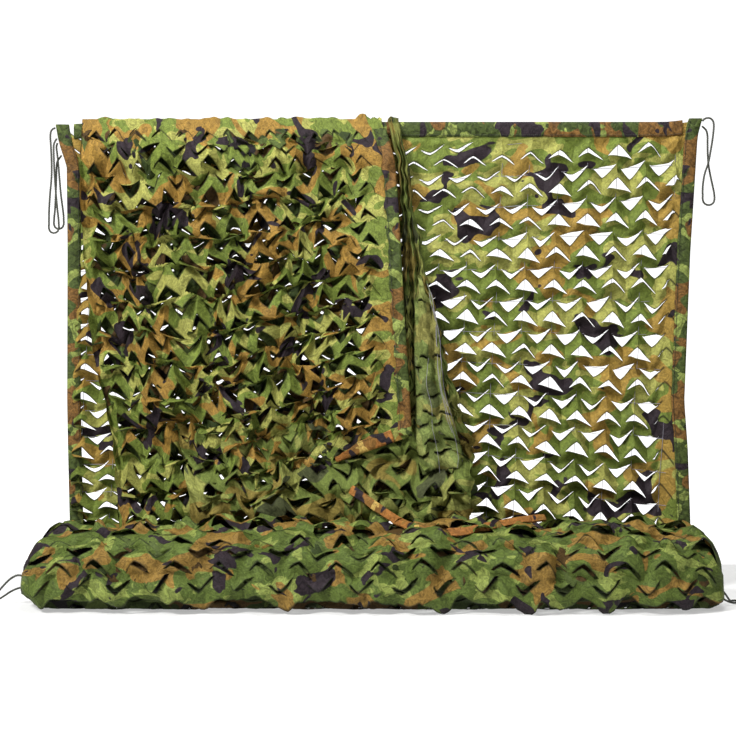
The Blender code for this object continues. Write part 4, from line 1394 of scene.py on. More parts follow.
@dataclass
class TumbledNet:
    """The foot of the fall, heaped in leaves between the turned-up corner and the roll."""

    pattern: SlitPattern = SlitPattern(pitch_x=0.056, pitch_z=0.072, short_rise=Span(0.020, 0.026),
                                       long_rise=Span(0.028, 0.038))
    left: float = -0.44
    right: float = 0.222
    top: float = 0.70
    foot: float = 0.928

    def _place(self, x: Array, drop: Array, forward: Array) -> Array:
        """Lay the cloth: deep in under the flap, coming forward towards the roll.

        Args:
            x: Places across.
            drop: Lengths down the cloth.
            forward: Distances out of the sheet.

        Returns:
            A row of x, y, z for each point.
        """
        narrow = smooth((0.80 - drop) / 0.10)
        across = np.where(x > 0.1, mix(x, 0.1 + 0.62 * (x - 0.1), narrow), x)
        out = 0.046 + 0.050 * smooth((drop - 0.77) / 0.11) + 0.014 * ripple(x, drop, 0.08, 81.0)
        out = out + 0.016 * smooth((x - 0.06) / 0.03) * smooth((drop - 0.74) / 0.06)
        at_side = smooth((self.right - x) / 0.03)
        across = across + 0.16 * (drop - 0.85) * smooth(-x / 0.1)
        return np.stack([across, -(out + forward * at_side) * mix(0.7, 1.0, at_side), -drop], 1)

    def build(self, finish: Material) -> Piece:
        """Make the heap of leaves.

        Args:
            finish: The cloth's dull back, darkened as painted shade.

        Returns:
            The new piece.
        """

        def hold(x: Array, drop: Array) -> tuple[Array, Array]:
            """Keep the cloth inside its own outline.

            Args:
                x: Places across.
                drop: Lengths down the cloth.

            Returns:
                The places across and down at which it is laid.
            """
            free = smooth(np.minimum(x - self.left, self.right - x) / 0.05)
            free = free * smooth(np.minimum(drop - self.top, self.foot - drop) / 0.05) * 0.020
            x, drop = x + free * ripple(x, drop, 0.07, 83.0), drop + free * ripple(x, drop, 0.06, 84.0)
            ragged = self.right - 0.012 + 0.014 * ripple(drop, 0.3 * drop, 0.026, 85.0)
            return np.clip(x, self.left, ragged), np.clip(drop, self.top, self.foot)

        pitches = math.ceil((self.right - self.left) / self.pattern.pitch_x)
        cloth = SlitCloth(name="net_fall_heap", pattern=self.pattern, extent=Extent(0, pitches, 0, 7),
                          origin=(self.left, self.top - 0.02), place=self._place,
                          is_cut=lambda x, drop: (x > self.left + 0.02) & (x < self.right - 0.03), hold=hold,
                          openness=lambda x, drop: np.full_like(x, 0.7), curl=Span(25.0, 80.0),
                          curl_spread=45.0, bend=Span(0.003, 0.004), to_front=0.75, pleat=0.006, strap=0.004,
                          strap_spread=0.013, twist=0.6, bow=0.002, facet=0.006, crumple=0.012,
                          crumple_size=0.05, wander=0.016,
                          lean_spread=0.016, map_shift=(9.0, 4.0), seed=19)
        return cloth.build(finish)


class FaceRow(NamedTuple):
    """The fall's outermost fold at one height: its two sides and how far forward it lies."""

    drop: float
    left: float
    right: float
    forward: float


FACE_ROWS = [
    FaceRow(drop=0.36, left=0.078, right=0.106, forward=0.040),
    FaceRow(drop=0.41, left=0.080, right=0.122, forward=0.060),
    FaceRow(drop=0.48, left=0.081, right=0.136, forward=0.068),
    FaceRow(drop=0.60, left=0.083, right=0.145, forward=0.070),
    FaceRow(drop=0.66, left=0.085, right=0.160, forward=0.072),
    FaceRow(drop=0.72, left=0.083, right=0.178, forward=0.074),
    FaceRow(drop=0.78, left=0.088, right=0.192, forward=0.072),
    FaceRow(drop=0.84, left=0.094, right=0.190, forward=0.050),
]


@dataclass
class FallFace:
    """The fall's outermost fold: the cloth's back, almost flat, its sides tucked in, and its strings."""

    pattern: SlitPattern = SlitPattern(pitch_x=0.062, pitch_z=0.064, step=Span(0.030, 0.014),
                                       short_rise=Span(0.004, 0.016), long_rise=Span(0.009, 0.024),
                                       knee=0.002)
    width: float = 0.150
    tuck: float = 0.022
    string: float = 0.0013

    def place(self, x: Array, drop: Array, forward: Array) -> Array:
        """Lay points of the fold.

        Args:
            x: Places across.
            drop: Lengths down the cloth.
            forward: Distances out of the sheet.

        Returns:
            A row of x, y, z for each point.
        """
        left, right, out = (column_of(FACE_ROWS, drop, column) for column in (1, 2, 3))
        share = np.clip(x / self.width, 0.0, 1.0)
        tucked = 1.0 - smooth(np.minimum(share, 1.0 - share) * self.width / self.tuck)
        hidden = 0.5 * self.tuck / self.width
        across = mix(left, right, np.clip((share - hidden) / (1.0 - 2 * hidden), 0.0, 1.0))
        across = across + 0.006 * ripple(drop, share, 0.06, 72.0)
        soft = 0.008 * np.sin(2 * math.pi * (1.8 * share + 0.9 * drop)) + 0.009 * ripple(x, drop, 0.06, 71.0)
        y = -out - (soft + np.clip(forward, -0.004, 0.012)) * (1.0 - tucked) + 0.026 * tucked
        return np.stack([across, y, -drop], 1)

    def build(self, finish: Material, string: Material) -> list[Piece]:
        """Make the fold and the strings that lie on it.

        Args:
            finish: The cloth's dull back, lightened as painted light.
            string: The backing string.

        Returns:
            The fold and its strings.
        """
        top, foot = FACE_ROWS[0].drop, FACE_ROWS[-1].drop

        def hold(x: Array, drop: Array) -> tuple[Array, Array]:
            """Keep the cloth inside its own outline."""
            return np.clip(x, 0.0, self.width), np.clip(drop, top, foot)

        def is_cut(x: Array, drop: Array) -> Array:
            """Slits stand clear of the tucked sides.

            Args:
                x: Places across.
                drop: Lengths down the cloth.

            Returns:
                Whether a slit there is cut.
            """
            chance = ripple(x.ravel(), drop.ravel(), 0.021, 73.0).reshape(x.shape)
            chosen = chance > mix(0.22, -0.5, smooth((drop - 0.62) / 0.1))
            return (x > 0.015) & (x < self.width - 0.015) & (drop > top + 0.05) & chosen

        cloth = SlitCloth(name="net_fall_face", pattern=self.pattern, extent=Extent(0, 3, 0, 14),
                          origin=(-0.01, top - 0.01), place=self.place, is_cut=is_cut, hold=hold,
                          openness=lambda x, drop: 0.1 + 0.4 * smooth((drop - 0.62) / 0.15),
                          curl=Span(14.0, 50.0), curl_spread=14.0, bend=Span(0.004, 0.005), sag=0.004,
                          to_front=0.8,
                          pleat=0.003, strap_spread=0.006, facet=0.006, crumple=0.010, wander=0.012, lean=0.0,
                          lean_spread=0.008, map_shift=(5.3, 1.0), seed=17)
        return [cloth.build(finish), self._strings(string)]

    def _strings(self, finish: Material) -> Piece:
        """Make the strings of the backing that hang loose over the fold.

        Args:
            finish: The piece's material.

        Returns:
            The new piece.
        """
        mesh = bmesh.new()
        for at, (share, first, last) in enumerate(((0.45, 0.55, 0.86), (0.80, 0.40, 0.72), (0.84, 0.38, 0.80),
                                                   (0.875, 0.40, 0.66), (0.90, 0.42, 0.83))):
            drops = np.linspace(first, last, 40)
            x = self.width * share + 0.012 * ripple(drops, np.full_like(drops, at), 0.11, 77.0)
            add_string(mesh, self.place(x, drops, np.full_like(drops, 0.010)), self.string)
        return make_object("fall_strings", mesh, finish)


# ---------------------------------------------------------------- the roll
class RollSection(NamedTuple):
    """The roll's outline at one place along its length."""

    x: float
    height: float
    depth: float


ROLL_SECTIONS = [
    RollSection(x=-0.783, height=0.070, depth=0.090),
    RollSection(x=-0.766, height=0.100, depth=0.140),
    RollSection(x=-0.725, height=0.142, depth=0.190),
    RollSection(x=-0.660, height=0.164, depth=0.220),
    RollSection(x=-0.480, height=0.172, depth=0.232),
    RollSection(x=-0.150, height=0.166, depth=0.230),
    RollSection(x=0.250, height=0.168, depth=0.232),
    RollSection(x=0.540, height=0.166, depth=0.228),
    RollSection(x=0.665, height=0.160, depth=0.214),
    RollSection(x=0.705, height=0.146, depth=0.190),
    RollSection(x=0.735, height=0.108, depth=0.150),
    RollSection(x=0.750, height=0.074, depth=0.100),
]


class LooseTurn(NamedTuple):
    """One of the roll's outermost turns: how far out it lies, how much it moves, and where it ends.

    Every second tip of its free edge reaches on by tips, in radians, and lies on the floor.
    """

    out: float
    play: tuple[float, float]
    stand_off: float
    toe: float
    shift: float
    last_angle: float
    first_line: int
    last_line: int
    tips: float
    seed: int


INNER_TURN = LooseTurn(out=0.0, play=(-0.002, 0.002), stand_off=0.0, toe=0.024, shift=0.030, last_angle=256.0,
                       first_line=0, last_line=15, tips=0.0, seed=21)
OUTER_TURN = LooseTurn(out=0.013, play=(-0.012, 0.017), stand_off=0.006, toe=0.0, shift=0.0, last_angle=214.0,
                       first_line=3, last_line=14, tips=0.5, seed=22)


@dataclass
class RolledNet:
    """The rolled length: its wound core and the two outermost turns of slit cloth, loose on it."""

    mid_y: float = -0.205
    lump: float = 0.009
    hollow: float = 0.016
    end_lift: tuple[float, float] = (0.028, 0.010)
    roundness: float = 2.4
    girth: float = 0.60
    first_angle: float = math.radians(-35.0)
    end_taper: float = 0.014
    front: float = -0.3465
    pattern: SlitPattern = SlitPattern(pitch_x=0.086, pitch_z=0.080, step=Span(0.006, 0.0),
                                       short_rise=Span(0.022, 0.030), long_rise=Span(0.034, 0.046),
                                       short_reach=3 / 12, long_reach=5 / 12)

    def surface(self, x: Array, angle: Array, out: Array) -> Array:
        """Place points round the roll.

        Args:
            x: Places along it.
            angle: Angles round it from its back, over its top.
            out: Distances outside its wound form.

        Returns:
            A row of x, y, z for each point.
        """
        first, last = ROLL_SECTIONS[0].x, ROLL_SECTIONS[-1].x
        closed = 0.35 + 0.65 * np.sqrt(np.clip(np.minimum(x - first, last - x) / self.end_taper, 0.0, 1.0))
        height = column_of(ROLL_SECTIONS, x, 1) * mix(1.0, closed, 0.6)
        depth = column_of(ROLL_SECTIONS, x, 2) * closed
        out = out * smooth(np.minimum(x - first, last - x) / 0.03)
        power = 2.0 / self.roundness
        across = np.sign(np.cos(angle)) * np.abs(np.cos(angle)) ** power
        up = np.sign(np.sin(angle)) * np.abs(np.sin(angle)) ** power
        lump = 0.6 * ripple(x, angle * 0.09, 0.045, 4.0) + 0.5 * np.sin(x / 0.0135 + 2.3 * angle)
        lump *= self.lump * smooth((up + 0.75) / 0.3) * np.where(across > 0.4, 0.35, 1.0)
        y = self.mid_y + across * (depth / 2 + lump + out)
        lift = (mix(self.end_lift[0], 0.0, smooth((x - first) / 0.06))
                + mix(self.end_lift[1], 0.0, smooth((last - x) / 0.04)))
        z = FLOOR_Z + height * 0.48 + up * (height * 0.52 + lump + out)
        z = np.maximum(z, FLOOR_Z + 0.0006) + lift * smooth((0.9 - up) / 0.8)
        return np.stack([x, y, z], 1)

    def _inwards(self, angle: Array) -> Array:
        """How far the inner turns lie in under the free edge of the outer one, near the floor in front.

        Args:
            angle: Angles round the roll.

        Returns:
            Distances inwards, in metres.
        """
        begun = smooth((angle - math.radians(196.0)) / 0.25)
        return self.hollow * begun * (1.0 - smooth((angle - math.radians(238.0)) / 0.2))

    def _leaves(self, name: str, turn: LooseTurn, finish: Material) -> Piece:
        """Make one loose outer turn of slit cloth.

        Args:
            name: The piece's name.
            turn: How the turn lies.
            finish: The piece's material.

        Returns:
            The new piece.
        """
        ends = (ROLL_SECTIONS[0].x + 0.001, ROLL_SECTIONS[-1].x - 0.001)
        last_angle = math.radians(turn.last_angle)

        def place(x: Array, drop: Array, forward: Array) -> Array:
            """Wind the cloth round the roll, its free edge standing off a little.

            Args:
                x: Places across.
                drop: Lengths of cloth round the roll.
                forward: Distances out of the sheet.

            Returns:
                A row of x, y, z for each point.
            """
            angle = mix(self.first_angle, last_angle, drop / self.girth)
            tip = np.clip(np.cos(math.pi * (x - turn.shift) / self.pattern.pitch_x + 0.6), 0.0, 1.0) ** 1.5
            tip = tip * smooth((angle - last_angle + 0.22) / 0.36)
            angle = angle + turn.tips * tip
            stand_off = turn.stand_off * smooth((angle - last_angle + 0.6) / 0.5)
            if turn.toe > 0.0:
                stand_off = stand_off - self._inwards(angle)
            spots = self.surface(x, angle, turn.out + stand_off + np.clip(forward, *turn.play))
            uneven = 0.3 + 1.4 * ripple(x, angle * 0.02, 0.06, 3.0)
            toe = smooth((angle - math.radians(230.0)) / 0.30) * uneven
            spots[:, 1] -= turn.toe * np.clip(toe, 0.0, 1.0) + 0.028 * turn.tips * tip
            spots[:, 1] = np.maximum(spots[:, 1], self.front)
            spots[:, 2] += 0.25 * turn.toe * np.clip(toe, 0.0, 1.0)
            return spots

        def hold(x: Array, drop: Array) -> tuple[Array, Array]:
            """Keep the cloth between the roll's ends."""
            return np.clip(x, *ends), drop

        def is_cut(x: Array, drop: Array) -> Array:
            """Slits stand clear of the ends."""
            return (x > ends[0] + 0.05) & (x < ends[1] - 0.05)

        extent = Extent(-10, 10, turn.first_line, turn.last_line)
        cloth = SlitCloth(name=name, pattern=self.pattern, extent=extent, origin=(turn.shift, 0.0),
                          place=place, is_cut=is_cut, hold=hold,
                          openness=lambda x, drop: np.full_like(x, 0.35),
                          curl=Span(12.0, 50.0), curl_spread=16.0, bend=Span(0.004, 0.005), sag=0.005,
                          to_front=0.92,
                          strap=0.003, strap_spread=0.016, twist=0.4, bow=0.001, facet=0.005, crumple=0.005,
                          crumple_size=0.06, wander=0.012, lean=0.001, lean_spread=0.006,
                          map_shift=(2.0 + turn.shift * 9, 5.0 + turn.out * 90), seed=turn.seed)
        return cloth.build(finish)

    def _core(self, finish: Material) -> Piece:
        """Make the wound core that shows dark between the leaves.

        Args:
            finish: The piece's material, the print painted dark as shade.

        Returns:
            The new piece.
        """
        first, last = ROLL_SECTIONS[0].x + 0.002, ROLL_SECTIONS[-1].x - 0.002

        def place(side: Array, along: Array) -> Array:
            """Place a corner of the core.

            Args:
                side: Shares of the way round.
                along: Shares of the length.

            Returns:
                A row of x, y, z for each point.
            """
            turn = np.where(side > 0.999, 0.0, side) * 2 * math.pi
            x = mix(first, last, along)
            crease = 0.004 * ripple(x, turn * 0.1, 0.022, 9.0)
            return self.surface(x, turn, -0.006 + crease - self._inwards(turn))

        return grid_piece("roll_core", 56, 220, place, (0.65, 1.5), finish, closed=True)

    def build(self, finish: Material, shaded: Material) -> list[Piece]:
        """Make the core and its two loose turns.

        Args:
            finish: The printed cloth, darkened as painted shade.
            shaded: The print painted dark as shade, for inside the roll.

        Returns:
            The core, the inner turn and the outer turn.
        """
        return [
            self._core(shaded),
            self._leaves("roll_inner_turn", INNER_TURN, shaded),
            self._leaves("roll_outer_turn", OUTER_TURN, finish),
        ]


# ---------------------------------------------------------------- bindings
# Shares of a strip's width: its front, its fold, and where its back begins.
FRONT_SHARE = 0.42
FOLD_SHARE = 0.16
BACK_FROM = 0.58


@dataclass
class Binding:
    """A strip folded over an edge of the net and sewn down.

    Its path runs along the fold, inwards points into the cloth and facing out of its front.
    """

    name: str
    path: Array
    inwards: Array
    facing: Array
    room: float = 0.0014
    width: float = BAND_WIDTH
    cloth: float = 0.0008
    pucker: float = 0.0034
    puff: float = 0.0022
    sway: float = 0.0
    taper: float = 0.0
    seed: float = 1.0
    raggedness: float = 0.0022
    seam_inside: float = 0.004
    stitch: float = 0.0045
    thread: float = 0.0013

    def _lengths(self) -> Array:
        """Length along the fold at each of its points."""
        return np.concatenate([[0.0], np.cumsum(np.linalg.norm(np.diff(self.path, axis=0), axis=1))])

    def _frame_at(self, at: Array) -> tuple[Array, Array, Array]:
        """Read where the strip lies along its fold.

        Args:
            at: Lengths along the fold, in metres.

        Returns:
            The fold's positions, the directions into the cloth and those out of its front.
        """
        steps = self._lengths()
        path, inwards, facing = (np.stack([np.interp(at, steps, track[:, axis]) for axis in range(3)], 1)
                                 for track in (self.path, self.inwards, self.facing))
        return path, unit(inwards), unit(facing)

    def build(self, finish: Material) -> Piece:
        """Make the strip.

        Args:
            finish: The strip's cloth.

        Returns:
            The new piece.
        """
        length = float(self._lengths()[-1])
        rows = max(12, round(length / 0.004))
        half = self.room + self.cloth / 2

        def place(across: Array, along: Array) -> Array:
            """Wrap the strip over the edge: its front, its fold and its back.

            Args:
                across: Shares of the strip's width.
                along: Shares of its length.

            Returns:
                A row of x, y, z for each point.
            """
            at = along * length
            path, inwards, facing = self._frame_at(at)
            fold = np.clip((across - FRONT_SHARE) / FOLD_SHARE, 0.0, 1.0) * math.pi
            depth = np.where(across < FRONT_SHARE, mix(self.width, half, across / FRONT_SHARE), 0.0)
            on_back = mix(half, self.width, (across - BACK_FROM) / FRONT_SHARE)
            depth = np.where(across > BACK_FROM, on_back, depth)
            on_fold = (across >= FRONT_SHARE) & (across <= BACK_FROM)
            depth = np.where(on_fold, half * (1 - np.sin(fold)), depth)
            height = half * np.cos(fold)
            swell = self.pucker * ripple(at, depth * 0.6 + np.sign(height) * 0.2, 0.013, self.seed)
            puff = self.puff * np.sin(math.pi * np.clip(depth / (self.width - self.seam_inside), 0.0, 1.0))
            height = height + np.sign(height) * (np.abs(swell) * smooth(depth / 0.006) + puff)
            edge = self.raggedness * ripple(at, np.zeros_like(at), 0.03, self.seed + 5.0)
            depth = (depth + edge * (depth > half)) * (1.0 - self.taper * smooth((at / length - 0.4) / 0.6))
            height = height + self.sway * ripple(at, depth, 0.035, self.seed + 9.0) * smooth(depth / 0.02)
            return path + inwards * depth[:, None] + facing * height[:, None]

        piece = grid_piece(self.name, 18, rows, place, (2 * self.width, length), finish)
        shell = piece.modifiers.new("cloth thickness", "SOLIDIFY")
        shell.thickness = self.cloth
        shell.offset = 0.0
        return piece

    def sew(self, mesh: Mesh) -> None:
        """Add the strip's row of stitches to a mesh.

        Args:
            mesh: The mesh that takes every stitch.
        """
        seam = self.width - self.seam_inside
        for start in np.arange(0.006, self._lengths()[-1] - 0.006, self.stitch):
            at = start + np.array([0.0, 0.35, 0.65, 1.0]) * self.stitch * 0.65
            path, inwards, facing = self._frame_at(at)
            rise = self.room + self.cloth + self.pucker * 0.8 + np.array([-0.0012, 0.0005, 0.0005, -0.0012])
            add_string(mesh, path + inwards * seam + facing * rise[:, None], self.thread)


class StripPoint(NamedTuple):
    """A point of the loose edge on the roll; lean is 0 where it faces forwards and 90 where it lies flat."""

    x: float
    y: float
    z: float
    lean: float


STRIP_POINTS = [
    StripPoint(x=-0.064, y=-0.098, z=-0.847, lean=0.0),
    StripPoint(x=-0.003, y=-0.143, z=-0.886, lean=10.0),
    StripPoint(x=0.040, y=-0.205, z=-0.908, lean=25.0),
    StripPoint(x=0.076, y=-0.255, z=-0.917, lean=35.0),
    StripPoint(x=0.129, y=-0.278, z=-0.924, lean=40.0),
    StripPoint(x=0.185, y=-0.276, z=-0.923, lean=40.0),
    StripPoint(x=0.222, y=-0.260, z=-0.916, lean=45.0),
    StripPoint(x=0.306, y=-0.222, z=-0.905, lean=50.0),
    StripPoint(x=0.363, y=-0.200, z=-0.901, lean=50.0),
]


@dataclass
class Bindings:
    """All the bound edges."""

    flap_room: float = 0.0024
    strip_width: float = 0.010

    def _side(self, name: str, column: int, inwards: float, seed: float) -> Binding:
        """Run a binding down one side of the hung stretch.

        Args:
            name: The strip's name.
            column: Which column of SIDES it follows.
            inwards: 1 at the left, -1 at the right.
            seed: Which puckers it has.

        Returns:
            The strip.
        """
        drops = np.concatenate([np.linspace(0.0, 1.0, 60), np.linspace(1.0, HUNG_LENGTH, 16)[1:]])
        x = column_of(SIDES, drops, column)
        path = hang(x, drops, np.zeros_like(drops))
        facing = hang(x, drops, np.ones_like(drops)) - path
        across = np.tile([inwards, 0.0, 0.0], (len(drops), 1))
        return Binding(name, path, across, facing, width=0.031, seed=seed)

    def _top(self) -> Binding:
        """Run the binding along the top edge, between the two side bindings.

        Returns:
            The strip.
        """
        low = 1.2 * BAND_WIDTH
        first = float(column_of(SIDES, low, 1)) + BAND_WIDTH + 0.0003
        last = float(column_of(SIDES, low, 2)) - BAND_WIDTH - 0.0003
        x = np.linspace(first, last, 80)
        path = hang(x, np.zeros_like(x), np.zeros_like(x))
        down, forward = (np.tile(way, (len(x), 1)) for way in ([0.0, 0.0, -1.0], [0.0, -1.0, 0.0]))
        return Binding("binding_top_strip", path, down, forward, seed=13.0)

    def _on_flap(self, name: str, edge: Array, inner: Array, seed: float) -> Binding:
        """Run a binding over an edge of the thrown-over stretch.

        Args:
            name: The strip's name.
            edge: Places across and down along the edge.
            inner: Those one width inside it.
            seed: Which puckers it has.

        Returns:
            The strip.
        """
        path = flap_surface(edge[:, 0], edge[:, 1])
        inwards = unit(flap_surface(inner[:, 0], inner[:, 1]) - path)
        facing = np.cross(np.gradient(path, axis=0), inwards)
        facing *= -np.sign(facing[:, 1])[:, None]
        return Binding(name, path, inwards, facing, room=self.flap_room, width=0.030, sway=0.010,
                       raggedness=0.006, seed=seed)

    def _strip(self) -> Binding:
        """Run the loose edge down in front of the fall and along the top of the roll.

        Returns:
            The strip.
        """
        path = np.array(smooth_route([point[:3] for point in STRIP_POINTS], 0.012))
        lean = np.radians(np.interp(path[:, 0], [p.x for p in STRIP_POINTS], [p.lean for p in STRIP_POINTS]))
        facing = np.stack([np.zeros_like(lean), -np.cos(lean), np.sin(lean)], 1)
        along = np.gradient(path, axis=0)
        across = unit(np.cross(along, facing))
        fold = path - across * self.strip_width
        return Binding("binding_roll_strip", fold, across, np.cross(across, along), room=0.0006,
                       width=2 * self.strip_width, seed=31.0)

    def build(self, finish: Material, brown: Material,
              thread: Material) -> tuple[dict[str, Piece], Piece]:
        """Make every binding and its sewing.

        Args:
            finish: The strips' cloth.
            brown: The same cloth where its print is mostly brown.
            thread: The sewing thread.

        Returns:
            Each new strip by the name of the node that it replaces, and the stitches.
        """
        corner = FLAP_FOOT[-1]
        drops = np.linspace(0.02, corner.value, 60)
        right = column_of(FLAP_RIGHT, drops, 1)
        side = self._on_flap("binding_flap_side_strip", np.stack([right, drops], 1),
                             np.stack([right - BAND_WIDTH, drops], 1), 17.0)
        start, end = corner.key - BAND_WIDTH - 0.004, corner.key - HEM_LENGTH
        x = np.linspace(start, end, 24)
        foot = column_of(FLAP_FOOT, x, 1)
        slope = (foot[0] - foot[-1]) / (start - end)
        turn = math.hypot(1.0, slope)
        hem = self._on_flap("binding_flap_hem_strip", np.stack([x, foot], 1),
                            np.stack([x + BAND_WIDTH * slope / turn, foot - BAND_WIDTH / turn], 1), 19.0)
        hem.taper = 0.55
        strips = {
            "binding_left": self._side("binding_left_strip", 1, 1.0, 3.0),
            "binding_right": self._side("binding_right_strip", 2, -1.0, 8.0),
            "binding_top": self._top(),
            "binding_flap_side": side,
            "binding_flap_hem": hem,
            "binding_roll_edge": self._strip(),
        }
        sewing = bmesh.new()
        for node, strip in strips.items():
            if node != "binding_roll_edge":
                strip.sew(sewing)
        in_brown = ("binding_flap_hem", "binding_roll_edge")
        made = {node: strip.build(brown if node in in_brown else finish) for node, strip in strips.items()}
        return made, make_object("binding_stitches", sewing, thread)


# ---------------------------------------------------------------- the corner loops
LOOPS: dict[str, list[Point]] = {
    "loop_left": [
        (-0.7538, 0.0, -0.014), (-0.7594, -0.0005, -0.0162), (-0.7632, -0.001, -0.021),
        (-0.7648, -0.0015, -0.0278), (-0.765, -0.002, -0.038), (-0.764, -0.002, -0.054),
        (-0.762, -0.003, -0.093), (-0.762, -0.004, -0.13), (-0.765, -0.006, -0.17),
        (-0.7671, -0.006, -0.207), (-0.7674, -0.006, -0.225), (-0.7675, -0.006, -0.2385),
        (-0.7676, -0.006, -0.2475), (-0.7642, -0.006, -0.2557), (-0.756, -0.006, -0.2591),
        (-0.7478, -0.006, -0.2557), (-0.7444, -0.006, -0.2475), (-0.7446, -0.006, -0.2385),
        (-0.7454, -0.006, -0.225), (-0.7475, -0.006, -0.207), (-0.751, -0.006, -0.17),
        (-0.754, -0.006, -0.13), (-0.756, -0.005, -0.093), (-0.7572, -0.003, -0.062),
        (-0.7563, -0.0015, -0.05), (-0.7505, 0.0, -0.0385),
    ],
    "loop_left_short": [
        (-0.7485, 0.0, -0.049), (-0.7508, 0.001, -0.054), (-0.7515, 0.002, -0.061), (-0.75, 0.003, -0.0745),
        (-0.7475, 0.004, -0.1), (-0.745, 0.004, -0.131), (-0.7415, 0.004, -0.17), (-0.7372, 0.004, -0.203),
        (-0.7355, 0.004, -0.218), (-0.7352, 0.004, -0.2285), (-0.7351, 0.004, -0.237),
        (-0.7385, 0.0045, -0.2452), (-0.7467, 0.005, -0.2486), (-0.7549, 0.0055, -0.2452),
        (-0.7583, 0.006, -0.237), (-0.7581, 0.006, -0.2285), (-0.7574, 0.006, -0.218),
        (-0.756, 0.0065, -0.203), (-0.7545, 0.007, -0.17), (-0.7535, 0.009, -0.13), (-0.753, 0.01, -0.104),
        (-0.7505, 0.009, -0.09), (-0.74, 0.002, -0.078),
    ],
    "loop_right": [
        (0.7536, 0.0, 0.002), (0.7575, 0.0, 0.0065), (0.764, -0.001, 0.0092), (0.7715, -0.0025, 0.0078),
        (0.777, -0.0035, 0.002), (0.7788, -0.0045, -0.007), (0.7782, -0.005, -0.02),
        (0.7755, -0.005, -0.043), (0.771, -0.005, -0.07), (0.766, -0.005, -0.096), (0.758, -0.0045, -0.12),
        (0.7543, -0.003, -0.142), (0.7535, -0.001, -0.16), (0.754, 0.0, -0.171), (0.7539, 0.0, -0.179),
        (0.7566, 0.001, -0.1874), (0.7638, 0.002, -0.1926), (0.7726, 0.003, -0.1926),
        (0.7798, 0.004, -0.1874), (0.7825, 0.005, -0.179), (0.7822, 0.005, -0.17), (0.7807, 0.005, -0.16),
        (0.7765, 0.0055, -0.14), (0.772, 0.006, -0.118), (0.7685, 0.006, -0.096), (0.767, 0.006, -0.073),
        (0.7666, 0.006, -0.049), (0.7662, 0.005, -0.031), (0.7625, 0.0035, -0.0185), (0.7525, 0.0, -0.01),
    ],
    "loop_roll_right": [
        (0.752, -0.19, -1.062), (0.76, -0.182, -1.068), (0.7695, -0.1715, -1.079), (0.777, -0.161, -1.088),
        (0.7828, -0.1515, -1.092), (0.7889, -0.1464, -1.092), (0.7967, -0.1464, -1.092),
        (0.8028, -0.1515, -1.092), (0.8041, -0.1592, -1.092), (0.8002, -0.166, -1.092),
        (0.793, -0.174, -1.092), (0.78, -0.186, -1.091), (0.766, -0.197, -1.086), (0.7525, -0.208, -1.079),
    ],
    "loop_roll_left": [
        (-0.7845, -0.195, -1.03), (-0.797, -0.195, -1.029), (-0.811, -0.195, -1.036),
        (-0.824, -0.195, -1.048), (-0.838, -0.194, -1.064), (-0.849, -0.192, -1.079),
        (-0.859, -0.1862, -1.0895), (-0.8655, -0.177, -1.092), (-0.8632, -0.1665, -1.0919),
        (-0.854, -0.1615, -1.09), (-0.843, -0.164, -1.085), (-0.832, -0.168, -1.078),
        (-0.815, -0.176, -1.067), (-0.798, -0.186, -1.059), (-0.7842, -0.19, -1.056),
    ],
}


@dataclass
class CornerLoops:
    """The cord loops at the net's corners: three strands laid round each other."""

    diameter: float = 0.005
    strands: int = 3
    lay_length: float = 0.016
    groove: float = 0.11

    def build(self, finish: Material) -> list[Piece]:
        """Make and declare every loop.

        Args:
            finish: The cord's material.

        Returns:
            The new pieces.
        """
        return [self._loop(node, route, finish) for node, route in LOOPS.items()]

    def _loop(self, node: str, route: list[Point], finish: Material) -> Piece:
        """Make one loop along its route.

        Args:
            node: The CAD node that it stands for.
            route: Its route.
            finish: The piece's material.

        Returns:
            The new piece.
        """
        path = smooth_route(route, 0.0016)
        along = [(path[min(at + 1, len(path) - 1)] - path[max(at - 1, 0)]).normalized()
                 for at in range(len(path))]
        side = along[0].orthogonal().normalized()
        sides = []
        for direction in along:
            side = (side - direction * side.dot(direction)).normalized()
            sides.append(side)
        spots, rights = np.array(path), np.array(sides)
        ups = np.cross(np.array(along), rights)
        length = sum((end - start).length for start, end in zip(path, path[1:]))
        rows = len(path) - 1

        def place(across: Array, share: Array) -> Array:
            """Place a corner of the laid cord.

            Args:
                across: Shares of the way round.
                share: Shares of the length.

            Returns:
                A row of x, y, z for each point.
            """
            at = np.round(share * rows).astype(int)
            turn = np.where(across > 0.999, 0.0, across) * 2 * math.pi
            laid = 2 * math.pi * share * length / self.lay_length / self.strands * 3
            lobes = np.cos(self.strands * (turn - laid))
            radius = self.diameter / 2 * (1.0 - self.groove + self.groove * lobes)
            outwards = rights[at] * np.cos(turn)[:, None] + ups[at] * np.sin(turn)[:, None]
            return spots[at] + outwards * radius[:, None]

        flat = (self.diameter * math.pi, length)
        piece = grid_piece(f"{node}_cord", 12, rows, place, flat, finish, closed=True)
        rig.cord(piece, exit=route[0], length=length, diameter=self.diameter, far_end="object",
                stiffness="limp", lay="hanging" if "roll" not in node else "loose",
                path=[tuple(spot) for spot in path[::3]] + [tuple(path[-1])])
        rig.ride(piece, "root")
        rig.replaces(piece, node)
        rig.slot(piece, Slot.CORD.value)
        return piece


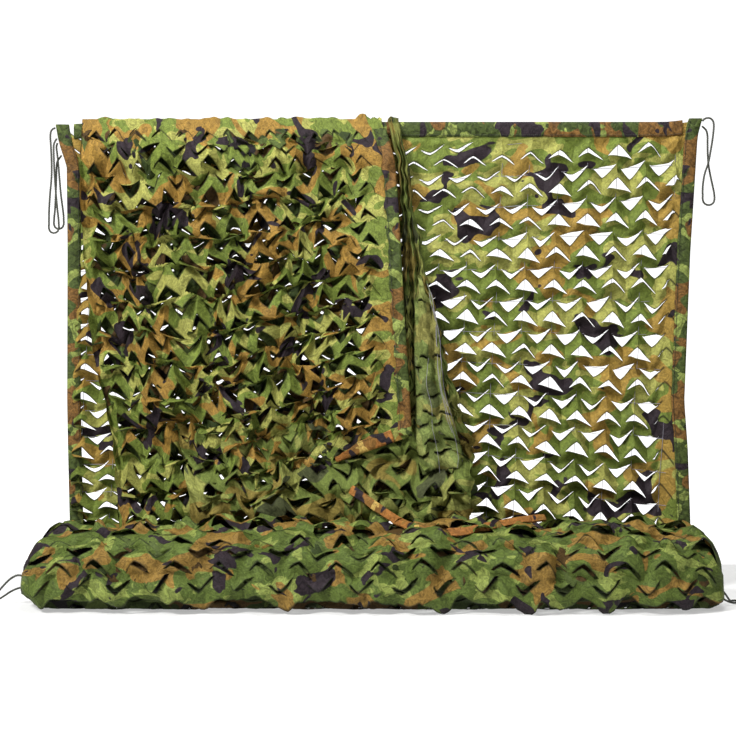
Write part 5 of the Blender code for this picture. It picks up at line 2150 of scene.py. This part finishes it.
# ---------------------------------------------------------------- studio
@dataclass
class Studio:
    """The pale floor and backdrop, the soft lights and the camera."""

    lens: float = 73.5
    eye: Point = (-0.0256, -3.5, -0.573)
    wall_y: float = 6.0
    ground_y: float = 0.5
    half_width: float = 2.7
    floor_half: float = 8.0

    def camera(self) -> None:
        """Set up the level camera at the viewer's place."""
        data = bpy.data.cameras.new("viewer")
        data.lens = self.lens
        data.sensor_width = 36.0
        viewer = bpy.data.objects.new("viewer", data)
        viewer.location = self.eye
        viewer.rotation_euler = (math.radians(90.0), 0.0, 0.0)
        bpy.context.scene.collection.objects.link(viewer)
        bpy.context.scene.camera = viewer

    def set_stage(self) -> None:
        """Make the sweep of pale paper and the lights."""
        paper, _ = start_finish("pale paper", {
            "Base Color": to_linear("#BDBDBB"), "Roughness": 0.9, "Specular IOR Level": 0.1,
            "Emission Color": to_linear("#FFFFFF"), "Emission Strength": 0.42})
        mesh = bmesh.new()
        bmesh.ops.create_grid(mesh, x_segments=1, y_segments=1, size=self.floor_half)
        bmesh.ops.translate(mesh, verts=mesh.verts[:], vec=(0.0, 0.0, FLOOR_Z - 0.0005))
        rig.stage(make_object("floor_paper", mesh, paper))
        lit, _ = start_finish("lit background paper", {
            "Base Color": to_linear("#808080"), "Emission Color": to_linear("#FFFFFF"),
            "Emission Strength": 1.0})
        wall = bmesh.new()
        bmesh.ops.create_grid(wall, x_segments=1, y_segments=1, size=self.half_width)
        bmesh.ops.rotate(wall, verts=wall.verts[:], matrix=Matrix.Rotation(math.radians(90.0), 3, "X"))
        bmesh.ops.translate(wall, verts=wall.verts[:], vec=(0.0, self.wall_y, FLOOR_Z + self.half_width))
        ground = bmesh.ops.create_grid(wall, x_segments=1, y_segments=1, size=self.half_width)["verts"]
        depth = (self.wall_y - self.ground_y) / 2
        bmesh.ops.scale(wall, verts=ground, vec=(1.0, depth / self.half_width, 1.0))
        bmesh.ops.translate(wall, verts=ground, vec=(0.0, self.wall_y - depth, FLOOR_Z))
        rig.stage(make_object("background_paper", wall, lit))
        world = bpy.data.worlds.new("studio")
        world.use_nodes = True
        world.node_tree.nodes["Background"].inputs[0].default_value = to_linear("#FFFFFF")
        world.node_tree.nodes["Background"].inputs[1].default_value = 0.06
        bpy.context.scene.world = world
        bpy.context.scene.view_settings.view_transform = "Standard"
        self._softbox("key", (-2.2, -3.0, 1.7), 0.9, 275.0)
        self._softbox("fill", (2.0, -3.4, 0.6), 1.6, 18.0)
        self._softbox("top", (0.3, -1.0, 2.4), 1.4, 105.0)

    def _softbox(self, name: str, spot: Point, size: float, power: float) -> None:
        """Place one soft light, aimed at the middle of the net.

        Args:
            name: The light's name.
            spot: Where it stands.
            size: Its width, in metres.
            power: Its power, in watts.
        """
        data = bpy.data.lights.new(name, "AREA")
        data.size = size
        data.energy = power
        lamp = bpy.data.objects.new(name, data)
        lamp.location = spot
        lamp.rotation_euler = (Vector((0.0, 0.0, -0.55)) - Vector(spot)).to_track_quat("-Z", "Y").to_euler()
        bpy.context.scene.collection.objects.link(lamp)


def attach(piece: Piece, slot: Slot, *nodes: str) -> None:
    """Hand a piece to the frame: what it rides on, its material slot and what it replaces.

    Args:
        piece: The piece.
        slot: The record's material slot.
        *nodes: The CAD nodes that it stands for.
    """
    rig.ride(piece, "root")
    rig.slot(piece, slot.value)
    if nodes:
        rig.replaces(piece, *nodes)
    LOG.info("%s: %d faces", piece.name, len(piece.data.polygons))


def dress(piece: Piece, slot: Slot, flat: tuple[float, float], held: Held, *nodes: str) -> None:
    """Hand a sheet to the frame, with how large it was cut.

    Args:
        piece: The sheet.
        slot: The record's material slot.
        flat: Its width and length laid flat, in metres.
        held: How it is held.
        *nodes: The CAD nodes that it stands for.
    """
    attach(piece, slot, *nodes)
    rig.sheet(piece, flat=flat, held=held.value)


def main() -> None:
    """Build every sub-assembly in order and report each piece."""
    logging.basicConfig(level=logging.INFO, format="%(message)s")
    studio = Studio()
    studio.camera()
    finish = {look: look.value.material() for look in Look}
    for loop in CornerLoops().build(finish[Look.CORD]):
        LOG.info("%s: %d faces", loop.name, len(loop.data.polygons))

    right, left, strings = HungNet().build(finish[Look.PRINT], finish[Look.STRING])
    dress(right, Slot.NET_CLOTH, (0.80, 1.10), Held.HUNG, "net_panel")
    dress(left, Slot.NET_CLOTH, (0.72, 1.10), Held.HUNG, "net_panel")
    attach(strings, Slot.NET_BACK)

    flap = ThrownNet().build("net_flap_cloth", finish[Look.THROWN], 8)
    dress(flap, Slot.NET_CLOTH, (1.0, 1.10), Held.GATHERED, "net_flap")
    # A second thickness under the flap, in the print painted dark as shade.
    under = ThrownNet(depth_back=0.022, ruffle=0.006, tail=0.06, bump=0.002, turn_in=0.004)
    flap_under = under.build("net_flap_under", finish[Look.PAINTED_SHADE_PRINT], 5)
    dress(flap_under, Slot.NET_CLOTH, (0.9, 1.05), Held.GATHERED, "net_flap")

    # The fall's back takes a tone darkened as painted shade; its outermost fold takes one lightened as painted light.
    fall = GatheredFall().build("net_fall_cloth", finish[Look.BACK], 12)
    dress(fall, Slot.NET_BACK, (0.34, 0.95), Held.GATHERED, "net_fall")
    face, loose_strings = FallFace().build(finish[Look.LIT_BACK], finish[Look.STRING])
    dress(face, Slot.NET_BACK, (0.13, 0.52), Held.GATHERED, "net_fall")
    dress(TumbledNet().build(finish[Look.BACK]), Slot.NET_BACK, (0.66, 0.26), Held.GATHERED, "net_fall")
    attach(loose_strings, Slot.NET_BACK)
    # An uncut sheet behind the fall, in the print painted dark as shade.
    inner_fall = GatheredFall(back=0.016, is_cut_through=False)
    fall_under = inner_fall.build("net_fall_under", finish[Look.PAINTED_SHADE_PRINT], 14)
    dress(fall_under, Slot.NET_BACK, (0.32, 0.93), Held.GATHERED, "net_fall")

    # The core and inner turn take the print painted dark as shade; the outer turn's print is darkened as painted shade
    # too.
    core, inner, outer = RolledNet().build(finish[Look.ROLLED], finish[Look.PAINTED_SHADE_PRINT])
    attach(core, Slot.NET_CLOTH, "net_roll")
    dress(inner, Slot.NET_CLOTH, (1.5, 0.62), Held.FOLDED, "net_roll")
    dress(outer, Slot.NET_CLOTH, (1.5, 0.50), Held.FOLDED, "net_roll")

    strips, stitches = Bindings().build(finish[Look.BAND], finish[Look.BROWN_BAND], finish[Look.THREAD])
    attach(stitches, Slot.BINDING)
    for node, strip in strips.items():
        width = 2 * BAND_WIDTH if node != "binding_roll_edge" else 0.04
        dress(strip, Slot.BINDING, (width, max(strip.dimensions)), Held.HUNG, node)

    studio.set_stage()
    with open("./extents.json", "w", encoding="utf-8") as out:
        json.dump({"cad": [list(corner) for corner in CAD_BOX], "visual": [list(corner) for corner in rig.bounds()]}, out)


if __name__ == "__main__":
    main()
